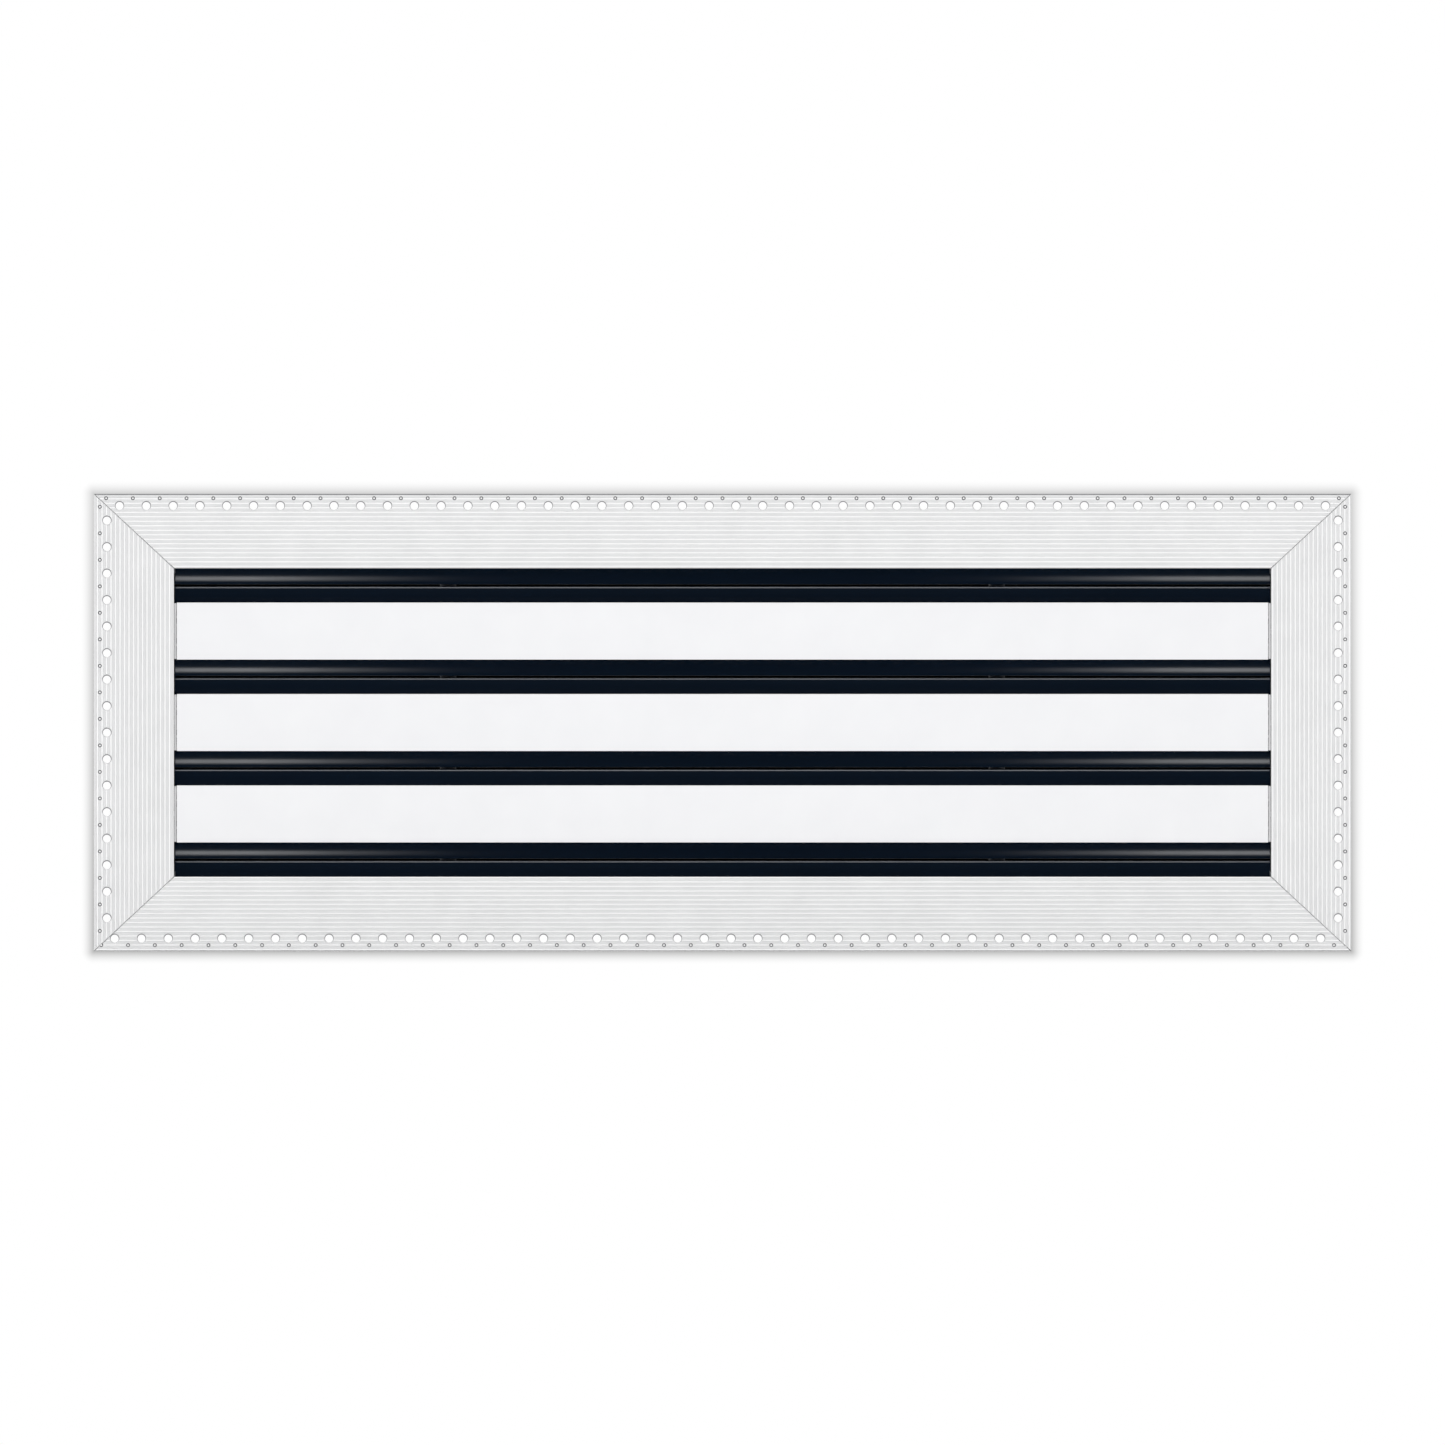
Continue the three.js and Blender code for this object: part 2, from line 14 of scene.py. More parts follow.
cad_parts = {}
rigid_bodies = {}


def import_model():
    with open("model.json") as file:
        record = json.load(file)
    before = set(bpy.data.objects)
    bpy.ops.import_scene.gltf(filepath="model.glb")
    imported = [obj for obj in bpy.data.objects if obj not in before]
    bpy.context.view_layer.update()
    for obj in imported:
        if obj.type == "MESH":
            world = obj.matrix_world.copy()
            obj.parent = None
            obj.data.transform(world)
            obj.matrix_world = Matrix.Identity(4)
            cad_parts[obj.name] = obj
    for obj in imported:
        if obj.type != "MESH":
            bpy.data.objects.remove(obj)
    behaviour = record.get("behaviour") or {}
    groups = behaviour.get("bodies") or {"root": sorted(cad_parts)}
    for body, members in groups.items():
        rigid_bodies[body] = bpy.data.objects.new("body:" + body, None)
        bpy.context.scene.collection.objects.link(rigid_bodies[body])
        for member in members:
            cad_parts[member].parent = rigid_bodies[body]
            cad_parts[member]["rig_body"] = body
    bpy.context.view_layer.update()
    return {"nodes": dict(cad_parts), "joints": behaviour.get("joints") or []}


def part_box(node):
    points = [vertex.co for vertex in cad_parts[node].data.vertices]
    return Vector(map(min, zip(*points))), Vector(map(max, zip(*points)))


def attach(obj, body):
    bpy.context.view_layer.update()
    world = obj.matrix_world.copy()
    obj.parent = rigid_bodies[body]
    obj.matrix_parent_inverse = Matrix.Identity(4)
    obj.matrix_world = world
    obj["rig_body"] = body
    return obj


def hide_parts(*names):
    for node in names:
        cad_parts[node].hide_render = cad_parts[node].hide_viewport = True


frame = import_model()

MM = 0.001
SMOOTH_BELOW = math.radians(32)

# Flange: valleys between the ribs lie back from the ribs' crests
FLANGE_THICKNESS = 2
VALLEY_Y = -1.4
RIB_PITCH = 2.5
RIB_SECTION = [(-0.52, VALLEY_Y), (-0.42, -1.85), (-0.27, -2), (0.27, -2), (0.42, -1.85), (0.52, VALLEY_Y)]
EDGE_CHAMFER = 0.2
# The top rail's outer edge steps back this far, deep enough to take the coat's painted dark grey: a painted
# shade line along the top edge.
EDGE_STEP_Y = -0.75
MITRE_CHAMFER = 0.34
MITRE_GAP = 0.03

# Neck and sockets. A socket angle is measured from +Y towards the nearer wall.
WALL_THICKNESS = 1.6
CAVITY_WIDTH = 30.3
JOINT_GAP = 0.3
SOCKET_RADIUS = 2.25
SOCKET_MOUTH_OPEN = math.radians(30)
SOCKET_MOUTH_SHUT = math.radians(240)

# Bars
BAR_FACE_THICKNESS = 1.6
STEM_THICKNESS = 1.5
BRIDGE_DEPTH = 20
BRIDGE_THICKNESS = 1.5

# Blades
BLADE_THICKNESS = 1.2
BLADE_RADIUS = 14
BLADE_CREST_Y = 0.9
BLADE_CREST_OFFSET = 2
BLADE_GAP = 1.1
NOSE_RADIUS = 1.2
BEAD_RADIUS = 2
PIVOT_OFFSET = 12.2

# Flange rows. Ribs are counted outwards from first_rib; holes lie inset from the outer edge, moved by shift.
# A small pierced hole stands between every two punched ones and past both ends of the row. Down is which way
# the object's -Z points in the side's own (x, z), before the side is turned into place.
FLANGE_ROWS = {
    "top_rail": dict(
        first_rib=1.1, ribs=16, edge_step=0.55,
        holes=46, pitch=14.89, inset=6.4, shift=0, small_inset=2.4, down=(0, -1),
    ),
    "bottom_rail": dict(
        first_rib=0.4, ribs=17,
        holes=46, pitch=14.89, inset=7.2, shift=2.7, small_inset=3.3, down=(0, 1),
    ),
    "right_end_frame": dict(
        first_rib=0.95, ribs=18,
        holes=16, pitch=14.73, inset=7.2, shift=-2, small_inset=3.3, down=(1, 0),
    ),
    "left_end_frame": dict(
        first_rib=-0.05, ribs=19,
        holes=16, pitch=14.73, inset=7.2, shift=2, small_inset=3.3, down=(-1, 0),
    ),
}

# Holes, as (radius, y) points. A punched hole's bore, from BORE_FROM_Y back, lies lower by PUNCH_DRIFT.
PUNCHED_HOLE = [(2.8, -2.5), (2.8, -1.3), (2.66, -1.1), (2.25, -0.8), (2.25, 0.5)]
PIERCED_HOLE = [(1.1, -2.5), (1.1, -0.95), (0.5, -0.35), (0.5, 0.5)]
PUNCH_DRIFT = 0.3
BORE_FROM_Y = -1

# Tie rods
ROD_Y = 28
ROD_RADIUS = 2.5
ROD_HOLE_RADIUS = 3
THREAD_PITCH = 0.8
THREAD_DEPTH = 0.45
THREADED_LENGTH = 16
NUT_BORE_RADIUS = 2.56
TUBE_RADIUS = 4.5
TUBE_BORE_RADIUS = 3

# End clips and screws
CLIP_LIP_BACK = 1.8
CLIP_PLATE_HALF_HEIGHT = 10.9
CLIP_TONGUE_THICKNESS = 1.5
CLIP_TONGUE_YS = (2, 18)
CLIP_BOSS_HALF_WIDTH = 4
CLIP_REACH_IN = 0.6
CLIP_GAP = 0.15
SCREW_HOLE_RADIUS = 2
SCREW_RADIUS = 1.6
SCREW_LENGTH = 14
SCREW_HEAD_RADIUS = 3.2
SCREW_HEAD_HEIGHT = 2.2
SCREW_PITCH = 1.2
SCREW_THREAD_DEPTH = 0.4
SCREW_POINT_LENGTH = 1.5
SCREW_DOME_RADIUS = 1.4
RECESS_WING = [(-0.32, -0.3), (0.32, -0.3), (0.45, 2), (-0.45, 2)]
RECESS_HALF_LENGTH = 1.75
RECESS_FLOOR = 1

# Corner angles and rivets
ANGLE_THICKNESS = 1.5
RIVET_OFFSET = 8.15
RIVET_HOLE_RADIUS = 1.95
RIVET_RADIUS = 1.6
RIVET_HEAD_RADIUS = 3.2
RIVET_HEAD_HEIGHT = 1.2

# How far a cutting tool reaches past what it cuts, and half the length of one for a hole in a wall
CLEAR = 5
BORE_REACH = 4

# Staging, in millimetres. The shadow's opacity is given at the face's bottom and top.
FLOOR_HALF_SIZE = 3000
DUCT_CARD_SPARE = 1
DUCT_CARD_BEHIND = 0.2
DUCT_CARD_INSET = 0.4
SHADOW_Y = 0.6
SHADOW_UNDERLAP = 2
SHADOW_CARD_WIDTH = 8
SHADOW_FADE_WIDTH = 7.5
SHADOW_FADE_POWER = 1.7
SHADOW_OPACITY = (0.53, 0.37)

# Lights, in metres, degrees and watts. A step of the end glow is (inner x, outer x, brightness).
END_GLOW_STEPS = ((0.215, 0.25, 2.5), (0.25, 0.285, 6.5), (0.285, 0.315, 12.5), (0.315, 0.43, 24))
END_GLOW_HEIGHT = 0.105
END_GLOW_ELEVATION = 15.6
END_GLOW_DISTANCE = 0.34
NOSE_STRIP_ELEVATION = 56
NOSE_STRIP_DISTANCE = 1.6
NOSE_STRIP_SIZE = (3, 1.8)
NOSE_STRIP_WATTS = 340
FLOOR_LIGHT_STRENGTH = 2.15
FLOOR_LIGHT_ANGLE = math.radians(60)
WORLD_LIGHT = 0.38
WORLD_IN_GLOSS = 0.2
FACE_SHARE_OF_WIDTH = 0.87

HEIGHT_TO_Y = Matrix.Rotation(-math.pi / 2, 4, "X")
HEIGHT_TO_X = Matrix.Rotation(math.pi / 2, 4, "Y")
HALF_TURN = Matrix.Rotation(math.pi, 4, "Y")


def span(node, axis):
    """Where a CAD node begins and ends along axis 0, 1 or 2, in millimetres."""
    low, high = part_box(node)
    return low[axis] / MM, high[axis] / MM


def middle(node):
    low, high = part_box(node)
    return (low + high) / 2 / MM


def moved(x=0, y=0, z=0):
    return Matrix.Translation(Vector((x, y, z)) * MM)


HALF_FACE = Vector((span("right_end_frame", 0)[1], span("top_rail", 2)[1]))
HALF_OPENING = Vector((span("right_end_frame", 0)[0], span("top_rail", 2)[0]))
NECK_DEPTH = span("top_rail", 1)[1]
SLOT_PITCH = middle("bar_1").z - middle("bar_2").z
HALF_BAR = span("bar_2", 2)[1]
SLOT_WIDTH = SLOT_PITCH - 2 * HALF_BAR
OUTER_SLOT_Z = HALF_OPENING.y - SLOT_WIDTH / 2
PIVOT_Y = frame["joints"][0]["pos_m"][1] / MM
ROD_X = middle("tie_rod_right").x
SCREW_Y = middle("clip_screw_1_right").y
RIVET_Y = middle("rivet_top_right_end").y
WALL_INNER_Z = OUTER_SLOT_Z + CAVITY_WIDTH / 2
WALL_OUTER_Z = WALL_INNER_Z + WALL_THICKNESS
STEM_OUTER = (SLOT_PITCH - CAVITY_WIDTH) / 2
STEM_INNER = STEM_OUTER - STEM_THICKNESS


# Shapes


def arc(centre, radius, start, end, steps):
    turns = [start + (end - start) * step / steps for step in range(steps + 1)]
    return [(centre[0] + radius * math.cos(turn), centre[1] + radius * math.sin(turn)) for turn in turns]


def rounded(corners, steps=4):
    """An outline in which a corner given as (a, b, radius) becomes an arc."""
    outline = []
    for i, (a, b, *radius) in enumerate(corners):
        if not radius:
            outline.append((a, b))
            continue
        here = Vector((a, b))
        before = (Vector(corners[i - 1][:2]) - here).normalized()
        after = (Vector(corners[(i + 1) % len(corners)][:2]) - here).normalized()
        half_angle = before.angle(after) / 2
        centre = here + (before + after).normalized() * radius[0] / math.sin(half_angle)
        reach = radius[0] / math.tan(half_angle)
        first, last = here + before * reach - centre, here + after * reach - centre
        spokes = [first.lerp(last, step / steps).normalized() for step in range(steps + 1)]
        outline += [tuple(centre + spoke * radius[0]) for spoke in spokes]
    return outline


def anticlockwise(outline):
    pairs = zip(outline, outline[1:] + outline[:1])
    area = sum(a[0] * b[1] - b[0] * a[1] for a, b in pairs)
    return outline if area > 0 else outline[::-1]


def drawn_in(outline, distance):
    """An anticlockwise outline, drawn in by a small distance all round."""
    drawn = []
    for i, point in enumerate(outline):
        here, before, after = Vector(point), Vector(outline[i - 1]), Vector(outline[(i + 1) % len(outline)])
        into, out = (here - before).normalized(), (after - here).normalized()
        inward = Vector((-into.y - out.y, into.x + out.x)).normalized()
        slant = max(inward.dot(Vector((-into.y, into.x))), 0.4)
        drawn.append(tuple(here + inward * distance / slant))
    return drawn


def mesh_object(name, vertices, faces):
    mesh = bpy.data.meshes.new(name)
    mesh.from_pydata([Vector(vertex) * MM for vertex in vertices], [], faces)
    shell = bmesh.new()
    shell.from_mesh(mesh)
    bmesh.ops.recalc_face_normals(shell, faces=shell.faces)
    shell.to_mesh(mesh)
    shell.free()
    made = bpy.data.objects.new(name, mesh)
    bpy.context.scene.collection.objects.link(made)
    return made


def skin(name, rings, ring_shaped=False):
    """A closed mesh through rings of points, with flat ends, or joined end to start if it is ring shaped."""
    count = len(rings[0])
    vertices = [point for ring in rings for point in ring]
    faces = [] if ring_shaped else [tuple(range(count)), tuple(range(len(vertices) - count, len(vertices)))]
    for k in range(len(rings) if ring_shaped else len(rings) - 1):
        this, following = k * count, (k + 1) % len(rings) * count
        for i in range(count):
            j = (i + 1) % count
            faces.append((this + i, this + j, following + j, following + i))
    return mesh_object(name, vertices, faces)


def prism(name, outline, start, end, axis="X", edge=0):
    """A bar from an outline, along X from (y, z) points or along Y from (x, z) points. Its ends are rounded
    over to radius edge."""
    outline = anticlockwise(outline)
    turns = [math.pi / 6 * step for step in range(4)] if edge else [math.pi / 2]
    sizes = [(edge * (1 - math.cos(turn)), edge * (1 - math.sin(turn))) for turn in turns]
    stations = [(start + along, inset) for along, inset in sizes]
    stations += [(end - along, inset) for along, inset in reversed(sizes)]
    rings = []
    for along, inset in stations:
        ring = drawn_in(outline, inset) if inset else outline
        rings.append([(along, a, b) if axis == "X" else (a, along, b) for a, b in ring])
    return skin(name, rings)


def block(name, xs, ys, zs, edge=0):
    corners = [(ys[0], zs[0]), (ys[1], zs[0]), (ys[1], zs[1]), (ys[0], zs[1])]
    outline = rounded([(*corner, edge) for corner in corners]) if edge else corners
    return prism(name, outline, *xs, edge=edge)


def circle(radius, height, sides=24):
    """A ring of points about the Z axis. Radius may be a function of the angle."""
    turns = [2 * math.pi * i / sides for i in range(sides)]
    sizes = [radius(turn) if callable(radius) else radius for turn in turns]
    return [(size * math.cos(turn), size * math.sin(turn), height) for size, turn in zip(sizes, turns)]


def turned(name, profile, sides=24, ring_shaped=False):
    """A turned shape about the Z axis, from (radius, height) points."""
    return skin(name, [circle(radius, height, sides) for radius, height in profile], ring_shaped)


def thread_profile(radius, depth, pitch, start, end, fade):
    """A screw thread's (radius, height) points. The radius is a function of the angle, and the thread runs
    out over a short fade at each end."""
    points = []
    steps = round((end - start) / pitch * 6)
    for step in range(steps + 1):
        height = start + (end - start) * step / steps
        full = min(1, (height - start) / fade, (end - height) / fade)

        def radius_at(turn, height=height, full=full):
            phase = (height / pitch - turn / (2 * math.pi)) % 1
            return radius - depth * full * abs(2 * phase - 1)

        points.append((radius_at, height))
    return points


def copies(piece, places):
    """The piece's mesh at each of the places, as one mesh."""
    whole = bmesh.new()
    for place in places:
        copy = piece.data.copy()
        copy.transform(place)
        whole.from_mesh(copy)
        bpy.data.meshes.remove(copy)
    whole.to_mesh(piece.data)
    whole.free()
    return piece


def bores(radius, places, reach=BORE_REACH):
    """Holes of one radius at the given places, as one cutting tool."""
    return copies(turned("bore", [(radius, -reach), (radius, reach)]), places)


def together(pieces):
    """Separate meshes as one object, for a single cut."""
    whole = bmesh.new()
    for piece in pieces:
        whole.from_mesh(piece.data)
    whole.to_mesh(pieces[0].data)
    whole.free()
    for piece in pieces[1:]:
        bpy.data.objects.remove(piece)
    return pieces[0]


def combined(piece, tool, operation="DIFFERENCE"):
    """The piece with the tool cut from it, or met with it or joined to it. The tool is used up."""
    modifier = piece.modifiers.new("tool", "BOOLEAN")
    modifier.operation = operation
    modifier.solver = "MANIFOLD"
    modifier.object = tool
    depsgraph = bpy.context.evaluated_depsgraph_get()
    piece.data = bpy.data.meshes.new_from_object(piece.evaluated_get(depsgraph))
    piece.modifiers.clear()
    bpy.data.objects.remove(tool)
    return piece


# Materials


class Shader:
    """A node material, and short ways to add the nodes that the coats and metals share."""

    def __init__(self, name, **sockets):
        self.material = bpy.data.materials.new(name)
        self.material.use_nodes = True
        self.tree = self.material.node_tree
        self.surface = self.tree.nodes["Principled BSDF"]
        for socket, value in sockets.items():
            self.surface.inputs[socket.replace("_", " ")].default_value = value
        self.places = self.add("ShaderNodeTexCoord").outputs["Object"]

    def add(self, kind, **settings):
        node = self.tree.nodes.new(kind)
        for setting, value in settings.items():
            setattr(node, setting, value)
        return node

    def link(self, output, target):
        self.tree.links.new(output, target)

    def noise(self, scale, detail=3, stretch=(1, 1, 1)):
        """Noise with features of about 1/scale metres, drawn out along an axis by stretch."""
        mapping = self.add("ShaderNodeMapping")
        mapping.inputs["Scale"].default_value = stretch
        texture = self.add("ShaderNodeTexNoise")
        texture.inputs["Scale"].default_value = scale
        texture.inputs["Detail"].default_value = detail
        self.link(self.places, mapping.inputs["Vector"])
        self.link(mapping.outputs["Vector"], texture.inputs["Vector"])
        return texture.outputs["Fac"]

    def mapped(self, value, source, target):
        """The value taken from the source range to the target range."""
        node = self.add("ShaderNodeMapRange")
        self.link(value, node.inputs["Value"])
        for socket, number in zip(("From Min", "From Max", "To Min", "To Max"), (*source, *target)):
            node.inputs[socket].default_value = number
        return node.outputs["Result"]

    def blend(self, share, first, second, mode="MIX"):
        """A colour between two colours, each given as numbers or as another node's output."""
        node = self.add("ShaderNodeMix", data_type="RGBA", blend_type=mode)
        if isinstance(share, (int, float)):
            node.inputs["Factor"].default_value = share
        else:
            self.link(share, node.inputs["Factor"])
        for socket, colour in ((6, first), (7, second)):
            if isinstance(colour, tuple):
                node.inputs[socket].default_value = (*colour, 1)
            else:
                self.link(colour, node.inputs[socket])
        return node.outputs[2]

    def bump(self, height, strength, distance):
        node = self.add("ShaderNodeBump")
        node.inputs["Strength"].default_value = strength
        node.inputs["Distance"].default_value = distance * MM
        self.link(height, node.inputs["Height"])
        self.link(node.outputs["Normal"], self.surface.inputs["Normal"])

    def colour(self, value):
        self.link(value, self.surface.inputs["Base Color"])

    def roughness(self, value):
        self.link(value, self.surface.inputs["Roughness"])


def white_powder_coat():
    """Satin white with a fine orange peel. The flange's valleys are painted greyer, as painted shade between
    the ribs. Deeper surfaces are painted light grey, then dark grey: painted shade on the holes' rims and in
    their bores and on the top rail's stepped outer edge, and a dark joint in the mitre grooves."""
    shader = Shader("white_powder_coat", IOR=1.5, Specular_IOR_Level=0.35)
    separate = shader.add("ShaderNodeSeparateXYZ")
    shader.link(shader.places, separate.inputs["Vector"])
    # Masks by depth, front to back: the valleys, painted greyer as painted shade; the holes' rims, painted
    # light grey as painted shade; deeper still, painted dark grey as painted shade in the holes and on the
    # top rail's stepped edge and as a dark joint in the mitres; and the back.
    valley_shade, rim, cut, behind = [
        shader.mapped(separate.outputs["Y"], (start * MM, end * MM), (0, 1))
        for start, end in ((-1.9, -1.45), (-1.38, -1.3), (-1.08, -0.98), (-0.15, 0))
    ]
    mottle = shader.mapped(shader.noise(60), (0.3, 0.7), (0, 1))
    crest = shader.blend(mottle, (0.892, 0.892, 0.897), (0.917, 0.917, 0.92))
    # Painted shade: the valleys' colour is greyer than the crests'.
    valley_shade_colour = shader.blend(mottle, (0.685, 0.688, 0.693), (0.72, 0.723, 0.728))
    front = shader.blend(valley_shade, crest, valley_shade_colour)
    # Painted shade: light grey on the holes' rims and dark grey deeper in; the dark grey also makes the
    # mitres' dark joints.
    punched = shader.blend(cut, shader.blend(rim, front, (0.84, 0.84, 0.85)), (0.22, 0.22, 0.23))
    shader.colour(shader.blend(behind, punched, (0.84, 0.845, 0.85)))
    shader.roughness(shader.mapped(shader.noise(300), (0.3, 0.7), (0.44, 0.56)))
    shader.bump(shader.noise(1400, detail=2), strength=0.25, distance=0.03)
    return shader.material


def bar_powder_coat():
    """The same coat on the smooth bars."""
    shader = Shader("white_powder_coat_smooth", IOR=1.5, Specular_IOR_Level=0.35)
    mottle = shader.mapped(shader.noise(40), (0.3, 0.7), (0, 1))
    shader.colour(shader.blend(mottle, (0.81, 0.812, 0.828), (0.83, 0.832, 0.846)))
    shader.roughness(shader.mapped(shader.noise(300), (0.3, 0.7), (0.40, 0.5)))
    shader.bump(shader.noise(1100, detail=2), strength=0.18, distance=0.03)
    return shader.material


def black_powder_coat():
    """Glossy black with a slight flow in the coat and a few softer patches."""
    shader = Shader("black_powder_coat", IOR=1.5, Specular_IOR_Level=0.1)
    patches = shader.mapped(shader.noise(25, stretch=(0.3, 1, 1)), (0.35, 0.7), (0, 1))
    shader.colour(shader.blend(patches, (0.0017, 0.0075, 0.018), (0.0024, 0.009, 0.0215)))
    shader.roughness(shader.mapped(shader.noise(180, stretch=(0.4, 1, 1)), (0.3, 0.7), (0.2, 0.23)))
    shader.bump(shader.noise(900, detail=1), strength=0.03, distance=0.01)
    return shader.material


def satin_black():
    """The spacer tubes' thinner black coat, matt so that they don't show through the slots."""
    shader = Shader("black_powder_coat_satin", IOR=1.5, Specular_IOR_Level=0.2)
    patches = shader.mapped(shader.noise(120), (0.35, 0.65), (0, 1))
    shader.colour(shader.blend(patches, (0.004, 0.006, 0.009), (0.007, 0.009, 0.013)))
    shader.roughness(shader.mapped(shader.noise(400), (0.3, 0.7), (0.5, 0.62)))
    shader.bump(shader.noise(1300, detail=2), strength=0.3, distance=0.03)
    return shader.material


def zinc_steel():
    """Bright zinc plate with faint grain and cloudy passivation."""
    shader = Shader("zinc_steel", Metallic=1.0)
    clouds = shader.mapped(shader.noise(90), (0.3, 0.7), (0, 1))
    shader.colour(shader.blend(clouds, (0.5, 0.53, 0.57), (0.66, 0.67, 0.67)))
    shader.roughness(shader.mapped(shader.noise(700), (0.25, 0.75), (0.28, 0.46)))
    shader.bump(shader.noise(1500), strength=0.15, distance=0.02)
    return shader.material


def rivet_aluminium():
    """Drawn aluminium, dull where the setting tool pressed it."""
    shader = Shader("rivet_aluminium", Metallic=1.0)
    pressed = shader.mapped(shader.noise(500), (0.3, 0.7), (0, 1))
    shader.colour(shader.blend(pressed, (0.72, 0.73, 0.75), (0.82, 0.83, 0.84)))
    shader.roughness(shader.mapped(shader.noise(900), (0.3, 0.7), (0.26, 0.42)))
    shader.bump(shader.noise(1800), strength=0.1, distance=0.02)
    return shader.material


def moulded_clip():
    """White moulded plastic with a spark-eroded grain."""
    shader = Shader("moulded_clip", IOR=1.46, Specular_IOR_Level=0.4)
    tint = shader.mapped(shader.noise(35), (0.3, 0.7), (0, 1))
    shader.colour(shader.blend(tint, (0.78, 0.785, 0.79), (0.83, 0.83, 0.835)))
    shader.roughness(shader.mapped(shader.noise(2500), (0.3, 0.7), (0.5, 0.65)))
    shader.bump(shader.noise(2500, detail=1), strength=0.3, distance=0.02)
    return shader.material


COATS = {
    "ribbed_white": (white_powder_coat(), "white_powder_coat"),
    "smooth_white": (bar_powder_coat(), "white_powder_coat"),
    "clip_white": (moulded_clip(), "white_powder_coat"),
    "black": (black_powder_coat(), "black_powder_coat"),
    "satin_black": (satin_black(), "black_powder_coat"),
    "zinc": (zinc_steel(), "zinc_steel"),
    "aluminium": (rivet_aluminium(), "rivet_aluminium"),
}
blades = bpy.data.collections.new("blades")
other_pieces = bpy.data.collections.new("other_pieces")
floor_only = bpy.data.collections.new("floor_only")


def fitted(piece, node, coat):
    """The finished piece stands for its CAD node, on the node's own body."""
    material, slot = COATS[coat]
    piece.name = f"{node}_finished"
    piece.data.materials.clear()
    piece.data.materials.append(material)
    piece.data.shade_smooth()
    piece.data.set_sharp_from_angle(angle=SMOOTH_BELOW)
    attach(piece, frame["nodes"][node]["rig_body"])
    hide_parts(node)
    (blades if coat == "black" else other_pieces).objects.link(piece)
    return piece


def fitted_copy(pattern, node, coat, place):
    """A further piece with the same mesh as the pattern, at the given place."""
    piece = bpy.data.objects.new(node, pattern.data)
    bpy.context.scene.collection.objects.link(piece)
    piece.matrix_world = place
    return fitted(piece, node, coat)


# Rails and end frames


def socket_edge(steps=20):
    """A slot's edge in section, from the back of its lip round the blade's socket to the wall. The second
    value of a point is its distance from the slot's centre plane."""
    outer_radius = (SLOT_WIDTH / 2 - PIVOT_OFFSET) / math.sin(SOCKET_MOUTH_SHUT)
    at_wall = math.asin((CAVITY_WIDTH / 2 - PIVOT_OFFSET) / outer_radius)
    pivot = (PIVOT_Y, PIVOT_OFFSET)
    return [
        (PIVOT_Y + outer_radius * math.cos(SOCKET_MOUTH_SHUT), SLOT_WIDTH / 2),
        *arc(pivot, SOCKET_RADIUS, SOCKET_MOUTH_SHUT, SOCKET_MOUTH_OPEN, steps),
        *arc(pivot, outer_radius, SOCKET_MOUTH_OPEN, at_wall, 3),
    ]


def ribbed_front(row, width, inner):
    """The flange's front in section as (y, distance) points, from the opening's edge at inner outwards. The
    top rail's outer edge is stepped back deep enough for the coat to paint it dark grey: a painted shade line
    along the top edge."""
    line = []
    for rib in range(row["ribs"]):
        centre = row["first_rib"] + rib * RIB_PITCH
        line += [(centre + across, y) for across, y in RIB_SECTION]

    def depth_at(across):
        after = next((i for i, point in enumerate(line) if point[0] >= across), None)
        if not after:
            return VALLEY_Y
        (a0, y0), (a1, y1) = line[after - 1], line[after]
        return y0 + (y1 - y0) * (across - a0) / (a1 - a0)

    step = row.get("edge_step", 0)
    ends = [EDGE_CHAMFER, width - EDGE_CHAMFER - step]
    inside = [(y, inner + across) for across, y in line if ends[0] < across < ends[1]]
    first, last = [(depth_at(end), inner + end) for end in ends]
    lip, edge = (first[0] + EDGE_CHAMFER, inner), (last[0] + EDGE_CHAMFER, inner + width - step)
    stepped = [(EDGE_STEP_Y, inner + width - step), (EDGE_STEP_Y, inner + width)] if step else []
    return [lip, first, *inside, last, edge, *stepped]


def hole_tool(row, outer):
    """Every hole of one side of the flange, as one cutting tool. The punch broke through a little lower than
    it went in, which leaves a wider rim above each hole. The coat paints that rim grey, which makes a painted
    shade crescent over each hole."""
    punched = turned("punched", PUNCHED_HOLE, 28)
    drift = Vector((row["down"][0], -row["down"][1], 0)) * PUNCH_DRIFT * MM
    for vertex in punched.data.vertices:
        if vertex.co.z > BORE_FROM_Y * MM:
            vertex.co += drift
    pierced = turned("pierced", PIERCED_HOLE, 16)
    rows = [(punched, row["holes"], row["inset"]), (pierced, row["holes"] + 1, row["small_inset"])]
    for tool, count, inset in rows:
        places = [row["shift"] + (i - (count - 1) / 2) * row["pitch"] for i in range(count)]
        copies(tool, [moved(x=x, z=outer - inset) @ HEIGHT_TO_Y for x in places])
    return together([punched, pierced])


def mitre_tool(inner, outer):
    """Takes both ends off a flange at its mitres, with a chamfer along the front edge of each."""
    along = (outer - inner).normalized()
    away = Vector((along.y, -along.x))
    front, back, past = -FLANGE_THICKNESS - 0.2, 0.1, 60
    section = [(-MITRE_GAP, back), (past, back), (past, front), (-MITRE_CHAMFER, front)]
    section += [(-MITRE_CHAMFER / 2, VALLEY_Y + 0.2), (-MITRE_GAP, VALLEY_Y + 0.8)]
    rings = []
    for corner in (inner - along * 4, outer + along * 4):
        rings.append([((corner + away * across).x, y, (corner + away * across).y) for across, y in section])
    right = skin("mitre_right", rings)
    left = skin("mitre_left", [[(-x, y, z) for x, y, z in ring] for ring in rings])
    return together([right, left])


def both_sides(make):
    """A cutting tool made at +x and at -x."""
    return together([make(1), make(-1)])


